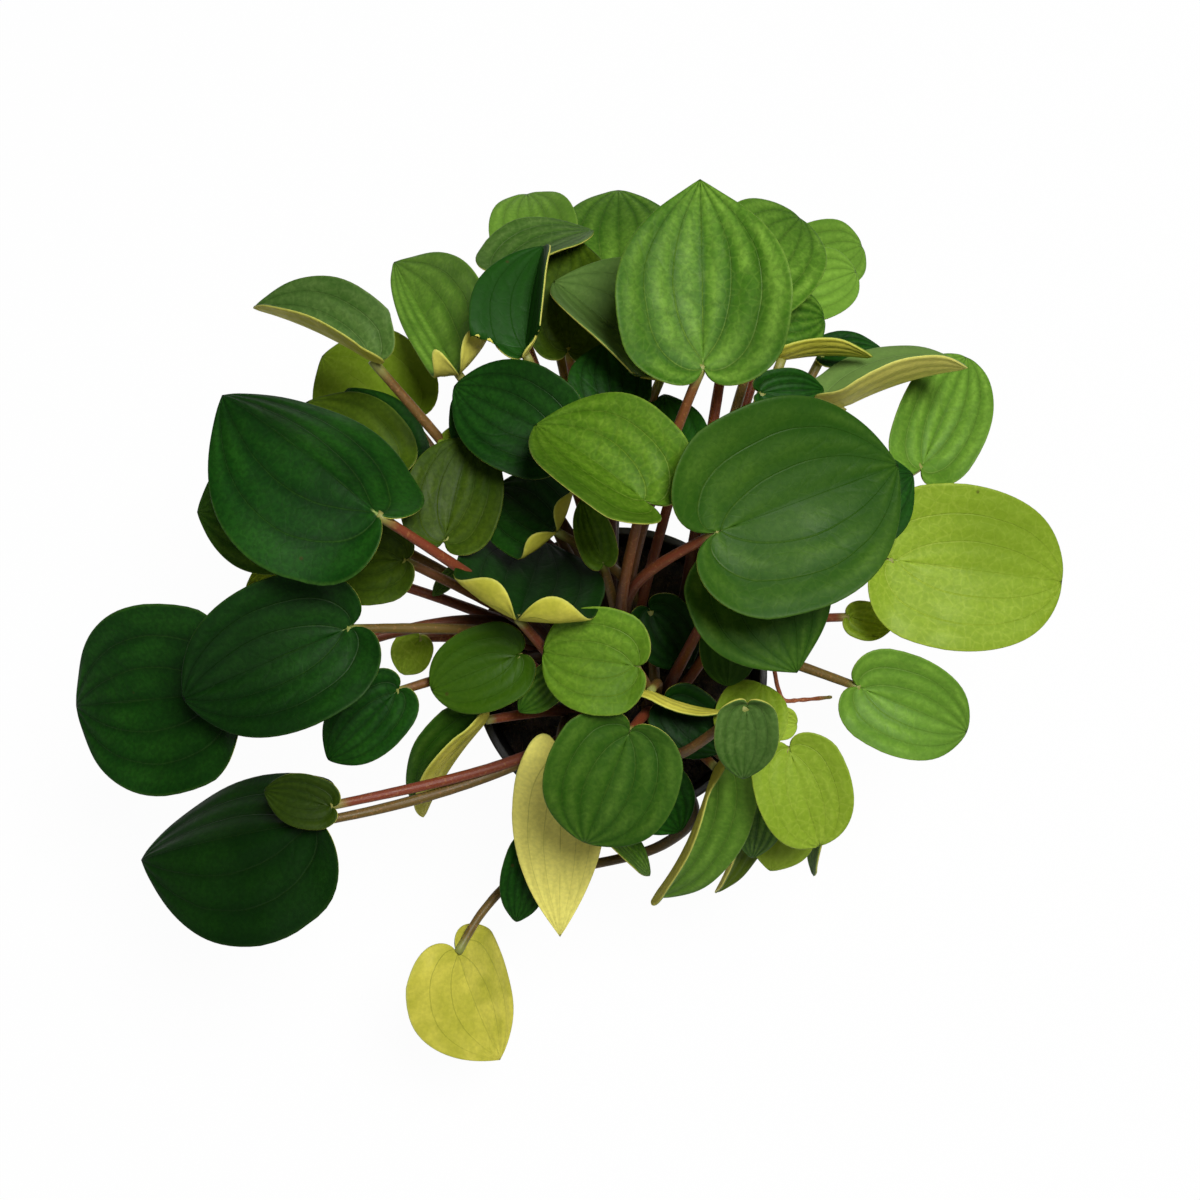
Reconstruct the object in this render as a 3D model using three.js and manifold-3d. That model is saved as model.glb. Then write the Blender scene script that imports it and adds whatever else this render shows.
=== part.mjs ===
// A rana verde peperomia in its black nursery pot.
// Millimetres, +Z up, the origin at the centre of the pot's base.
import * as THREE from "three";
import Module from "manifold-3d";

const wasm = await Module();
wasm.setup();

// Pot
const potHeight = 105;
const rimRadius = 60;
const rimBandHeight = 9;
const rimBandStep = 1.8;
const baseRadius = 43;
const wallThickness = 1.6;
const floorThickness = 2;
const drainHoleCount = 8;
const drainHoleRadius = 4;
const drainHoleCircle = 31;
const potFacets = 40;

// Soil
const soilDepthBelowRim = 12;
const soilDome = 3;
const fitGap = 0.3;
const soilFacets = 24;

// Crowns: short stems that stand in the soil and carry the petioles
const crownFootDepth = 18;
const crownRadius = 4.6;
const crownTopRadius = 3.4;
const crownRise = 9;
const crownFacets = 10;
const crowns = {
  left: { at: [-19, 5], lean: [-3, 1] },
  back: { at: [-4, 21], lean: [0, 3] },
  right: { at: [20, 12], lean: [3, 1] },
  front: { at: [13, -14], lean: [1, -3] },
  near: { at: [-12, -15], lean: [-2, -2] },
  middle: { at: [2, 2], lean: [0, 0] },
};

// Petioles
const petioleFootRadius = 2.5;
const petioleTipRadius = 1.7;
const petioleSides = 5;
const petioleStepLength = 22;
const petioleStepRange = [3, 6];
const petioleFootSpread = 2;
const petioleFootDepths = [0.7, 3];
const petioleLift = 0.55;
const petioleShoulder = 0.12;
const petioleReach = 0.34;
const petioleMinFacing = 0.45;
const simplifyWithin = 0.08;

// Blades
const bladeThickness = 1.1;
const bladeGrid = { rows: 6, columns: 6 };
const smallBladeGrid = { rows: 5, columns: 4 };
const smallBladeLength = 46;
const widestAt = 0.33;
const scrollStart = 0.07;
const waveHeight = 0.012;

// The view from above that the leaves are placed in: a square frame whose side is frameSize,
// looked down into from viewTilt off the vertical, at viewDistance from the rim's plane.
const frameSize = 1200;
const viewTilt = THREE.MathUtils.degToRad(10);
const viewDistance = 700;
const rimCentreInFrame = [620.5, 670.5];
const rimRadiusInFrame = 147;

// Each leaf: the crown it grows from, and where its base and its tip show in that view, each as
// [across, down, height over the rim]. lift and sway raise its petiole and bend it sideways.
// The blade: roll turns the face to the leaf's right, wide is width over length, fold and curl raise the
// two halves, bend drops the tip, scroll rolls the lobes up into a funnel, lobe is how far they reach
// behind the base, round blunts the tip. Angles are in degrees. A fused blade is one body with its stems,
// and via is the route of a petiole that hangs over the rim.
const leafDefaults = {
  lift: 1, sway: 0, roll: 0, wide: 0.98, fold: 6, curl: 22, bend: 22, scroll: 40, lobe: 0.17, round: 0.3,
  tone: "mid", fused: false,
};
const leaves = [
  { name: "leaf_01", crown: "back", base: [540, 266, 76], tip: [527, 194, 54], wide: 0.9, round: 0.7 },
  { name: "leaf_02", crown: "back", base: [500, 270, 86.4], tip: [594, 231, 80.4], roll: -52, tone: "grey" },
  {
    name: "leaf_03", crown: "back", base: [525, 354, 108], tip: [545, 246, 100], lift: 0.35, sway: -14,
    roll: -34, fold: 34, scroll: 80, tone: "dark",
  },
  { name: "leaf_04", crown: "back", base: [568, 347, 88], tip: [572, 237, 80], wide: 0.72, tone: "olive" },
  {
    name: "leaf_05", crown: "back", base: [662, 376, 101], tip: [553, 282, 97], lift: 0.8, sway: 13,
    roll: 44, fold: 42, scroll: 80, tone: "grey",
  },
  {
    name: "leaf_06", crown: "middle", base: [703, 364, 132], tip: [700, 179, 136], lift: 1.15, sway: 9,
    wide: 0.96, lobe: 0.15, round: 0.05,
  },
  { name: "leaf_07", crown: "back", base: [620, 300, 72], tip: [618, 190, 46], wide: 0.8 },
  { name: "leaf_08", crown: "right", base: [735, 292, 108], tip: [800, 218, 92], round: 0.7 },
  { name: "leaf_09", crown: "right", base: [794, 270, 62], tip: [862, 246, 50], wide: 0.9, round: 0.8 },
  { name: "leaf_10", crown: "right", base: [784, 298, 84], tip: [856, 272, 74], wide: 0.85, round: 0.8 },
  { name: "leaf_11", crown: "right", base: [762, 326, 96], tip: [824, 318, 88], round: 0.8 },
  {
    name: "leaf_12", crown: "right", base: [782, 358, 100], tip: [873, 357, 96], roll: -98, wide: 0.6,
    tone: "lime",
  },
  {
    name: "leaf_13", crown: "right", base: [822, 356, 81], tip: [882, 350, 75], roll: -30, wide: 0.7,
    tone: "dark", fused: true,
  },
  {
    name: "leaf_14", crown: "right", base: [843, 406, 97], tip: [968, 368, 99], roll: -74, fold: 26,
    curl: 10, scroll: 50, lobe: 0.28, tone: "grey",
  },
  { name: "leaf_15", crown: "right", base: [922, 465, 72], tip: [966, 357, 64], wide: 0.74, round: 0.8 },
  {
    name: "leaf_16", crown: "middle", base: [720, 531, 128], tip: [898, 465, 120], lift: 1.15, sway: 17,
    wide: 1.12, lobe: 0.22, round: 0.45,
  },
  { name: "leaf_17", crown: "right", base: [826, 520, 98], tip: [913, 474, 92], tone: "dark" },
  {
    name: "leaf_18", crown: "right", base: [894, 560, 66], tip: [1062, 582, 58], wide: 0.96, curl: 10,
    round: 0.9, tone: "lime",
  },
  {
    name: "leaf_19", crown: "left", base: [372, 360, 100], tip: [253, 308, 96], lift: 0.55, sway: -14,
    roll: 46, wide: 0.86, fold: 40, tone: "grey",
  },
  {
    name: "leaf_20", crown: "left", base: [404, 412, 42], tip: [322, 356, 36], wide: 1.2, lobe: 0.26,
    tone: "lime",
  },
  {
    name: "leaf_21", crown: "left", base: [396, 480, 54], tip: [348, 388, 50], roll: 20, wide: 0.85,
    tone: "dark",
  },
  {
    name: "leaf_22", crown: "left", base: [388, 470, 66], tip: [306, 402, 60], roll: 20, wide: 0.85,
    tone: "olive",
  },
  {
    name: "leaf_23", crown: "left", base: [377, 514, 119], tip: [222, 395, 109], sway: 1, roll: 28,
    wide: 0.92, fold: -24, curl: 4, lobe: 0.1, round: 0.1, tone: "dark",
  },
  { name: "leaf_24", crown: "left", base: [320, 508, 60], tip: [199, 526, 50], wide: 0.8 },
  {
    name: "leaf_25", crown: "left", base: [318, 560, 53], tip: [246, 588, 47], wide: 0.6, tone: "lime",
    fused: true,
  },
  {
    name: "leaf_26", crown: "left", base: [346, 629, 88], tip: [183, 699, 78], sway: -3, wide: 0.88,
    round: 0.5, tone: "dark",
  },
  {
    name: "leaf_27", crown: "left", base: [236, 690, 66], tip: [76, 706, 34], lift: 1.05, sway: -22,
    wide: 1.04, round: 0.6, tone: "dark",
  },
  {
    name: "leaf_28", crown: "near", base: [314, 822, 56], tip: [141, 860, 24], lift: 0.8, sway: 18,
    roll: 26, wide: 0.95, fold: -18, curl: 4, lobe: 0.1, round: 0.2, tone: "dark",
  },
  {
    name: "leaf_29", crown: "near", base: [330, 806, 63], tip: [264, 790, 59], lift: 0.8, sway: 19,
    wide: 0.8, tone: "olive",
  },
  {
    name: "leaf_30", crown: "left", base: [404, 694, 62], tip: [328, 760, 52], wide: 0.86, round: 0.4,
    tone: "dark",
  },
  {
    name: "leaf_31", crown: "left", base: [419, 638, 36], tip: [402, 674, 26], wide: 0.95, tone: "lime",
    fused: true,
  },
  {
    name: "leaf_32", crown: "left", base: [455, 571, 53], tip: [433, 596, 47], wide: 0.5, tone: "grey",
    fused: true,
  },
  { name: "leaf_33", crown: "left", base: [403, 560, 71], tip: [316, 563, 61], round: 0.8, tone: "olive" },
  { name: "leaf_34", crown: "left", base: [445, 538, 91], tip: [470, 438, 91], round: 0.7, tone: "olive" },
  {
    name: "leaf_35", crown: "back", base: [458, 464, 81], tip: [457, 424, 79], lift: 0.65, sway: -1,
    tone: "lime", fused: true,
  },
  {
    name: "leaf_36", crown: "back", base: [560, 440, 107], tip: [454, 386, 99], lift: 0.85, wide: 0.92,
    round: 0.4, tone: "dark",
  },
  {
    name: "leaf_37", crown: "middle", base: [643, 500, 130], tip: [535, 425, 122], sway: 6, roll: 30,
    wide: 1.18, fold: 20, lobe: 0.28, tone: "light",
  },
  {
    name: "leaf_38", crown: "back", base: [578, 470, 82], tip: [519, 423, 78], wide: 0.7, tone: "dark",
    fused: true,
  },
  {
    name: "leaf_39", crown: "back", base: [520, 445, 88], tip: [452, 400, 82], lift: 0.3, sway: 7,
    tone: "dark", fused: true,
  },
  {
    name: "leaf_40", crown: "back", base: [457, 372, 85], tip: [394, 262, 47], lift: 1.1, sway: 1,
    roll: 4, wide: 0.5, fold: 16, bend: 0, scroll: 112, lobe: 0.3,
  },
  {
    name: "leaf_41", crown: "middle", base: [554, 530, 93], tip: [497, 486, 71], sway: -23, bend: 0,
    scroll: 110, lobe: 0.34, tone: "dark",
  },
  {
    name: "leaf_42", crown: "near", base: [518, 618, 97], tip: [545, 542, 55], lift: 0.65, sway: -2,
    wide: 1.02, bend: 0, scroll: 108, lobe: 0.34, tone: "dark",
  },
  {
    name: "leaf_43", crown: "middle", base: [602, 560, 83], tip: [582, 498, 87], lift: 1.05, wide: 0.7,
    fold: 20, tone: "light", fused: true,
  },
  {
    name: "leaf_45", crown: "front", base: [738, 556, 100], tip: [797, 673, 92], lift: 1.05, sway: -1,
    wide: 1.14, round: 0.1,
  },
  { name: "leaf_46", crown: "front", base: [650, 610, 50], tip: [690, 668, 42], tone: "dark", fused: true },
  {
    name: "leaf_47", crown: "front", base: [728, 620, 68], tip: [728, 686, 58], sway: -5, wide: 0.9,
    round: 0.6,
  },
  {
    name: "leaf_48", crown: "front", base: [742, 738, 48], tip: [762, 684, 46], wide: 1.3, round: 1,
    tone: "lime",
  },
  {
    name: "leaf_49", crown: "front", base: [768, 722, 30], tip: [797, 724, 28], wide: 1.2, round: 1,
    tone: "lime", fused: true,
  },
  {
    name: "leaf_50", crown: "front", base: [747, 706, 99], tip: [743, 779, 85], lift: 1.05, sway: -34,
    wide: 0.84, scroll: 70, tone: "grey",
  },
  {
    name: "leaf_51", crown: "front", base: [790, 751, 53], tip: [820, 846, 41], lift: 0.65, round: 0.9,
    tone: "lime",
  },
  {
    name: "leaf_52", crown: "front", base: [790, 805, 10], tip: [770, 871, 0], sway: 23, tone: "lime",
    fused: true,
  },
  {
    name: "leaf_53", crown: "front", base: [716, 768, 46], tip: [654, 896, -8], lift: 0.5, roll: -46,
    wide: 0.6, fold: 34, round: 0.9,
  },
  {
    name: "leaf_54", crown: "front", base: [752, 780, 15], tip: [715, 893, -25], roll: -46, wide: 0.42,
    fold: 30, tone: "olive",
  },
  { name: "leaf_55", crown: "front", base: [764, 778, 35], tip: [752, 858, 5], wide: 0.5, fused: true },
  {
    name: "leaf_56", crown: "front", base: [822, 830, 6], tip: [814, 876, -14], roll: 70, wide: 0.4,
    tone: "grey", fused: true,
  },
  { name: "leaf_57", crown: "right", base: [857, 684, 50], tip: [967, 732, 42], round: 0.7 },
  {
    name: "leaf_58", crown: "right", base: [850, 617, 44], tip: [892, 628, 40], wide: 0.9, tone: "lime",
    fused: true,
  },
  {
    name: "leaf_59", crown: "front", base: [635, 666, 88], tip: [543, 652, 82], wide: 1.16, curl: 12,
    round: 0.9, tone: "light",
  },
  {
    name: "leaf_60", crown: "front", base: [629, 733, 78], tip: [585, 843, 58], sway: -1, wide: 1.1,
    round: 0.6,
  },
  {
    name: "leaf_61", crown: "near", base: [562, 768, 44], tip: [560, 937, -4], lift: 1.25, sway: -12,
    roll: 172, wide: 0.48, tone: "under",
  },
  {
    name: "leaf_62", crown: "near", base: [532, 846, 0], tip: [516, 922, -16], wide: 0.6, tone: "dark",
    fused: true,
  },
  {
    name: "leaf_63", crown: "front", base: [457, 953, -24], tip: [500, 1060, -38], lift: 0.8, sway: -13,
    roll: 140, wide: 1.12, tone: "under",
    via: [[668, 760, 16], [694, 812, 6], [662, 845, -10], [584, 866, -22], [520, 876, -26], [484, 910, -26]],
  },
  {
    name: "leaf_64", crown: "near", base: [517, 655, 68], tip: [431, 690, 62], wide: 0.95, round: 0.7,
    tone: "light",
  },
  { name: "leaf_65", crown: "near", base: [560, 672, 67], tip: [519, 712, 59], wide: 0.7, fused: true },
  {
    name: "leaf_66", crown: "near", base: [478, 718, 48], tip: [424, 817, 10], roll: 44, wide: 0.74,
    fold: 56,
  },
  { name: "leaf_67", crown: "front", base: [642, 772, 38], tip: [680, 832, 24], tone: "dark", fused: true },
  {
    name: "leaf_68", crown: "near", base: [608, 832, 9], tip: [650, 876, -7], roll: -50, wide: 0.5,
    fused: true,
  },
  {
    name: "leaf_69", crown: "front", base: [650, 692, 63], tip: [728, 712, 55], lift: 0.9, roll: 95,
    wide: 0.5, tone: "under", fused: true,
  },
  { name: "leaf_70", crown: "front", base: [668, 704, 48], tip: [722, 752, 42], tone: "dark" },
  {
    name: "leaf_71", crown: "right", base: [762, 392, 102], tip: [824, 390, 96], wide: 0.7, tone: "dark",
    fused: true,
  },
  {
    name: "leaf_72", crown: "back", base: [612, 412, 107], tip: [606, 343, 103], lift: 0.85, wide: 1.15,
    tone: "dark",
  },
  {
    name: "leaf_73", crown: "middle", base: [676, 476, 98], tip: [664, 394, 94], lift: 0.8, wide: 0.9,
    tone: "dark", fused: true,
  },
];

// Flower stalk: a thin bent stalk with a blunt spike, with its own hole in the soil
const flowerStalkRadius = 1;
const flowerSpikeRadius = 0.8;
const flowerHoleRadius = 1.9;
const flowerHoleDepth = 0.05;
const flowerStalkSides = 5;
const flowerStalkSteps = 12;
const flowerStalkLine = [
  [728, 652, -26], [734, 652, -12], [752, 646, 8], [771, 660, 16],
  [778, 688, 14], [784, 700, 12], [800, 700, 14], [832, 697, 18],
];

// Colours
const tones = {
  dark: [0x123d18, 0.55],
  mid: [0x2f6b25, 0.5],
  light: [0x5d8a2a, 0.5],
  lime: [0x86a62a, 0.5],
  olive: [0x4a5f1a, 0.55],
  grey: [0x3c6a44, 0.5],
  under: [0xb3b84a, 0.6],
};
const potColour = 0x0b0b0c;
const soilColour = 0x1c130d;
const stemColour = 0x6b2f1c;
const flowerColour = 0xb4683c;

const toRadians = THREE.MathUtils.degToRad;

// View

// A point of the frame at a height over the rim, as a place in the room.
const lookDirection = new THREE.Vector3(0, Math.sin(viewTilt), -Math.cos(viewTilt));
const frameRight = new THREE.Vector3(1, 0, 0);
const frameUp = new THREE.Vector3(0, Math.cos(viewTilt), Math.sin(viewTilt));
const frameFocal = (rimRadiusInFrame / rimRadius) * viewDistance;
const eye = new THREE.Vector3(0, 0, potHeight)
  .addScaledVector(lookDirection, -viewDistance)
  .addScaledVector(frameRight, ((frameSize / 2 - rimCentreInFrame[0]) / frameFocal) * viewDistance)
  .addScaledVector(frameUp, ((rimCentreInFrame[1] - frameSize / 2) / frameFocal) * viewDistance);

function placeInRoom([across, down, height]) {
  const ray = lookDirection.clone()
    .addScaledVector(frameRight, (across - frameSize / 2) / frameFocal)
    .addScaledVector(frameUp, (frameSize / 2 - down) / frameFocal);
  return eye.clone().addScaledVector(ray, (potHeight + height - eye.z) / ray.z);
}

// Blades

// Half of the heart-shaped outline, from the notch at t = 0 round the lobe to the tip at t = 1.
const lobeCurve = new THREE.CubicBezierCurve(
  new THREE.Vector2(0, 0),
  new THREE.Vector2(0.01, -1.5),
  new THREE.Vector2(0.47, -1.75),
  new THREE.Vector2(0.5, 0),
);
const pointedFlank = new THREE.CubicBezierCurve(
  new THREE.Vector2(0.5, widestAt),
  new THREE.Vector2(0.5, 0.66),
  new THREE.Vector2(0.16, 0.86),
  new THREE.Vector2(0, 1),
);
const roundFlank = new THREE.CubicBezierCurve(
  new THREE.Vector2(0.5, widestAt),
  new THREE.Vector2(0.5, 0.75),
  new THREE.Vector2(0.3, 1),
  new THREE.Vector2(0, 1),
);

function outlinePoint(t, leaf) {
  if (t >= 0.5) {
    return pointedFlank.getPoint(2 * t - 1).lerp(roundFlank.getPoint(2 * t - 1), leaf.round);
  }
  const point = lobeCurve.getPoint(2 * t);
  point.y = leaf.lobe * point.y + widestAt * (2 * t) ** 3;
  return point;
}

// How far an arc of length a and curvature k, that sets out at an angle, runs along and across.
function arc(a, start, k) {
  if (Math.abs(k) < 1e-6) {
    return [a * Math.cos(start), a * Math.sin(start)];
  }
  return [
    (Math.sin(start + k * a) - Math.sin(start)) / k,
    (Math.cos(start) - Math.cos(start + k * a)) / k,
  ];
}

// The midrib's height and slope at y, from the rolled-up lobes behind the base to the drooping tip.
function spine(y, leaf) {
  const rollRate = toRadians(leaf.scroll) / (scrollStart + leaf.lobe);
  const droopRate = toRadians(leaf.bend);
  if (y < scrollStart) {
    const back = arc(scrollStart - y, 0, rollRate);
    return { along: -back[0], up: back[1], slope: rollRate * (scrollStart - y) };
  }
  const ahead = arc(y - scrollStart, 0, droopRate);
  return { along: ahead[0], up: -ahead[1], slope: droopRate * (y - scrollStart) };
}

// A point of the blade, one long from notch to tip: t runs from the base to the tip, s from the left
// edge at -1 over the midrib at 0 to the right edge at 1.
function bladePoint(t, s, leaf) {
  const edge = outlinePoint(t, leaf);
  const across = Math.abs(s) * edge.x * leaf.wide;
  const y = (1 - Math.abs(s)) * t + Math.abs(s) * edge.y;
  const halfWidth = leaf.wide / 2;
  const [out, rise] = arc(across, toRadians(leaf.fold), toRadians(leaf.curl) / halfWidth);
  const wave = waveHeight * s * s * Math.sin(9 * t + leaf.phase + (s > 0 ? 2 : 0)) * Math.sin(Math.PI * t);
  const lift = rise + wave;
  const rib = spine(y, leaf);
  return new THREE.Vector3(
    Math.sign(s) * out,
    rib.along + lift * Math.sin(rib.slope),
    rib.up + lift * Math.cos(rib.slope),
  );
}

// The frame that sets a blade of unit length into the room: its length, origin and three directions.
function bladeFrame(leaf) {
  const base = placeInRoom(leaf.base);
  const tip = placeInRoom(leaf.tip);
  const localBase = bladePoint(0, 0, leaf);
  const localTip = bladePoint(1, 0, leaf);
  const chord = localTip.clone().sub(localBase);
  const chordAngle = Math.atan2(chord.z, chord.y);
  const length = base.distanceTo(tip) / chord.length();
  const along = tip.clone().sub(base).normalize();
  const facing = lookDirection.clone().negate();
  facing.addScaledVector(along, -facing.dot(along)).normalize();
  const side = along.clone().cross(facing);
  const roll = toRadians(leaf.roll);
  const up = facing.clone().multiplyScalar(Math.cos(roll)).addScaledVector(side, Math.sin(roll));
  const cosine = Math.cos(chordAngle);
  const sine = Math.sin(chordAngle);
  const forward = along.clone().multiplyScalar(cosine).addScaledVector(up, -sine);
  const normal = along.clone().multiplyScalar(sine).addScaledVector(up, cosine);
  const right = forward.clone().cross(normal);
  const toRoom = new THREE.Matrix4().makeBasis(right, forward, normal);
  toRoom.scale(new THREE.Vector3(length, length, length));
  const start = localBase.clone().applyMatrix4(toRoom);
  toRoom.setPosition(base.clone().sub(start));
  return { toRoom, base, length, forward, normal };
}

// A blade as a closed sheet: the same grid of triangles on both faces, joined round the edge.
function bladeSolid(leaf) {
  const { toRoom, length } = bladeFrame(leaf);
  const { rows, columns } = length < smallBladeLength ? smallBladeGrid : bladeGrid;
  const middle = [];
  const rowStart = (row) => 1 + (row - 1) * (columns + 1);
  middle.push(bladePoint(0, 0, leaf));
  for (let row = 1; row < rows; row += 1) {
    for (let column = 0; column <= columns; column += 1) {
      middle.push(bladePoint(row / rows, (2 * column) / columns - 1, leaf));
    }
  }
  middle.push(bladePoint(1, 0, leaf));
  middle.forEach((point) => point.applyMatrix4(toRoom));
  const last = middle.length - 1;
  const faces = [];
  for (let column = 0; column < columns; column += 1) {
    faces.push([0, rowStart(1) + column + 1, rowStart(1) + column]);
    faces.push([last, rowStart(rows - 1) + column, rowStart(rows - 1) + column + 1]);
  }
  for (let row = 1; row < rows - 1; row += 1) {
    for (let column = 0; column < columns; column += 1) {
      const a = rowStart(row) + column;
      const b = a + 1;
      const c = rowStart(row + 1) + column;
      const d = c + 1;
      if (column < columns / 2) {
        faces.push([a, b, d], [a, d, c]);
      } else {
        faces.push([a, b, c], [b, d, c]);
      }
    }
  }
  return thicken(middle, faces, bladeThickness);
}

// Two copies of a sheet of triangles, half a thickness out along its normals on each side, and the
// strip that closes its edge.
function thicken(points, faces, thickness) {
  const normals = points.map(() => new THREE.Vector3());
  const edgeCount = new Map();
  for (const face of faces) {
    const [a, b, c] = face.map((index) => points[index]);
    const normal = b.clone().sub(a).cross(c.clone().sub(a));
    face.forEach((index) => normals[index].add(normal));
    for (let k = 0; k < 3; k += 1) {
      const from = face[k];
      const to = face[(k + 1) % 3];
      const twin = `${to},${from}`;
      if (edgeCount.has(twin)) {
        edgeCount.delete(twin);
      } else {
        edgeCount.set(`${from},${to}`, [from, to]);
      }
    }
  }
  const count = points.length;
  const positions = [];
  for (const sign of [1, -1]) {
    points.forEach((point, index) => {
      const offset = normals[index].clone().normalize().multiplyScalar((sign * thickness) / 2);
      positions.push(...point.clone().add(offset).toArray());
    });
  }
  const triangles = [];
  for (const [a, b, c] of faces) {
    triangles.push(a, b, c, a + count, c + count, b + count);
  }
  for (const [from, to] of edgeCount.values()) {
    triangles.push(from, from + count, to, to, from + count, to + count);
  }
  return solid(positions, triangles);
}

// Stems

// A closed tube of a few sides along a curve, its radius going evenly from the first to the second.
function tube(curve, steps, sides, firstRadius, lastRadius) {
  const points = curve.getPoints(steps);
  const positions = [];
  const triangles = [];
  let side = new THREE.Vector3(1, 0, 0);
  points.forEach((point, step) => {
    const direction = curve.getTangent(step / steps);
    side.addScaledVector(direction, -side.dot(direction));
    if (side.lengthSq() < 1e-4) {
      side = new THREE.Vector3(0, 1, 0).addScaledVector(direction, -direction.y);
    }
    side.normalize();
    const other = direction.clone().cross(side);
    const radius = THREE.MathUtils.lerp(firstRadius, lastRadius, step / steps);
    for (let k = 0; k < sides; k += 1) {
      const angle = (2 * Math.PI * k) / sides;
      positions.push(...point.clone()
        .addScaledVector(side, radius * Math.cos(angle))
        .addScaledVector(other, radius * Math.sin(angle)).toArray());
    }
  });
  for (let step = 0; step < steps; step += 1) {
    for (let k = 0; k < sides; k += 1) {
      const next = (k + 1) % sides;
      const a = step * sides + k;
      const b = step * sides + next;
      triangles.push(a, b, b + sides, a, b + sides, a + sides);
    }
  }
  const lastRing = steps * sides;
  for (let k = 1; k < sides - 1; k += 1) {
    triangles.push(0, k + 1, k, lastRing, lastRing + k, lastRing + k + 1);
  }
  return solid(positions, triangles);
}

// A petiole's line: up and out of its crown, and into the blade's underside at the notch.
function petioleCurve(leaf) {
  const { base, normal } = bladeFrame(leaf);
  const centre = crownTop(leaf.crown);
  const outward = base.clone().sub(centre).setZ(0).normalize();
  const depth = THREE.MathUtils.lerp(...petioleFootDepths, (leaf.phase * 7) % 1);
  const foot = centre.addScaledVector(outward, petioleFootSpread).setZ(centre.z - depth);
  const span = base.distanceTo(foot);
  const rise = new THREE.Vector3(0, 0, petioleLift * span * leaf.lift);
  const away = base.clone().sub(foot).setZ(0);
  const sideways = new THREE.Vector3(-away.y, away.x, 0).normalize().multiplyScalar(leaf.sway);
  const shoulder = foot.clone().addScaledVector(away, petioleShoulder).add(rise).add(sideways);
  const arrival = base.clone().sub(shoulder).normalize();
  const facing = arrival.dot(normal);
  arrival.addScaledVector(normal, Math.max(0, petioleMinFacing - facing)).normalize();
  const clear = bladeThickness / 2 + fitGap + petioleTipRadius * Math.sqrt(1 - arrival.dot(normal) ** 2);
  const sink = leaf.fused ? 0 : clear;
  const end = base.clone().addScaledVector(normal, -sink);
  if (leaf.via) {
    return new THREE.CatmullRomCurve3([foot, ...leaf.via.map(placeInRoom), end], false, "centripetal");
  }
  const neck = end.clone().addScaledVector(arrival, -petioleReach * span);
  return new THREE.CubicBezierCurve3(foot, shoulder, neck, end);
}

const soilTop = potHeight - soilDepthBelowRim;

function crownTop(name) {
  const { at, lean } = crowns[name];
  return new THREE.Vector3(at[0] + lean[0], at[1] + lean[1], soilTop + soilDome + crownRise);
}

function crownStem(name) {
  const { at } = crowns[name];
  const foot = new THREE.Vector3(at[0], at[1], soilTop - crownFootDepth);
  const collar = new THREE.Vector3(at[0], at[1], soilTop + soilDome + 2);
  const top = crownTop(name);
  const lower = tube(new THREE.LineCurve3(foot, collar), 1, crownFacets, crownRadius, crownRadius);
  const seam = collar.clone().setZ(collar.z - 1);
  const upper = tube(new THREE.LineCurve3(seam, top), 1, crownFacets, crownRadius, crownTopRadius);
  return lower.add(upper);
}

function flowerStalk() {
  const line = new THREE.CatmullRomCurve3(flowerStalkLine.map(placeInRoom), false, "centripetal");
  return tube(line, flowerStalkSteps, flowerStalkSides, flowerStalkRadius, flowerSpikeRadius);
}

// Pot and soil

function turned(profile, facets) {
  const positions = [];
  const triangles = [];
  const rings = profile.map(([radius, z]) => {
    const first = positions.length / 3;
    const count = radius === 0 ? 1 : facets;
    for (let k = 0; k < count; k += 1) {
      const angle = (2 * Math.PI * k) / facets;
      positions.push(radius * Math.cos(angle), radius * Math.sin(angle), z);
    }
    return { first, count };
  });
  for (let ring = 0; ring < rings.length - 1; ring += 1) {
    const low = rings[ring];
    const high = rings[ring + 1];
    for (let k = 0; k < facets; k += 1) {
      const next = (k + 1) % facets;
      const a = low.first + (low.count === 1 ? 0 : k);
      const b = low.first + (low.count === 1 ? 0 : next);
      const c = high.first + (high.count === 1 ? 0 : k);
      const d = high.first + (high.count === 1 ? 0 : next);
      if (a !== b) {
        triangles.push(a, b, d);
      }
      if (c !== d) {
        triangles.push(a, d, c);
      }
    }
  }
  return solid(positions, triangles);
}

const wallSlope = (rimRadius - rimBandStep - baseRadius) / potHeight;
const outerAt = (z) => baseRadius + wallSlope * z;
const innerAt = (z) => outerAt(z) - wallThickness;
const soilReach = (z) => (innerAt(z) - fitGap) * Math.cos(Math.PI / potFacets);

function pot() {
  const bandBottom = potHeight - rimBandHeight;
  let body = turned([
    [0, 0],
    [baseRadius, 0],
    [outerAt(bandBottom), bandBottom],
    [rimRadius - 0.6, bandBottom],
    [rimRadius, bandBottom + 1],
    [rimRadius, potHeight - 1],
    [rimRadius - 0.8, potHeight],
    [innerAt(potHeight), potHeight],
    [innerAt(floorThickness), floorThickness],
    [0, floorThickness],
  ], potFacets);
  for (let k = 0; k < drainHoleCount; k += 1) {
    const angle = (2 * Math.PI * k) / drainHoleCount;
    const x = drainHoleCircle * Math.cos(angle);
    const y = drainHoleCircle * Math.sin(angle);
    const below = new THREE.Vector3(x, y, -1);
    const above = new THREE.Vector3(x, y, floorThickness + 1);
    const hole = new THREE.LineCurve3(below, above);
    body = body.subtract(tube(hole, 1, 8, drainHoleRadius, drainHoleRadius));
  }
  return body;
}

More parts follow.
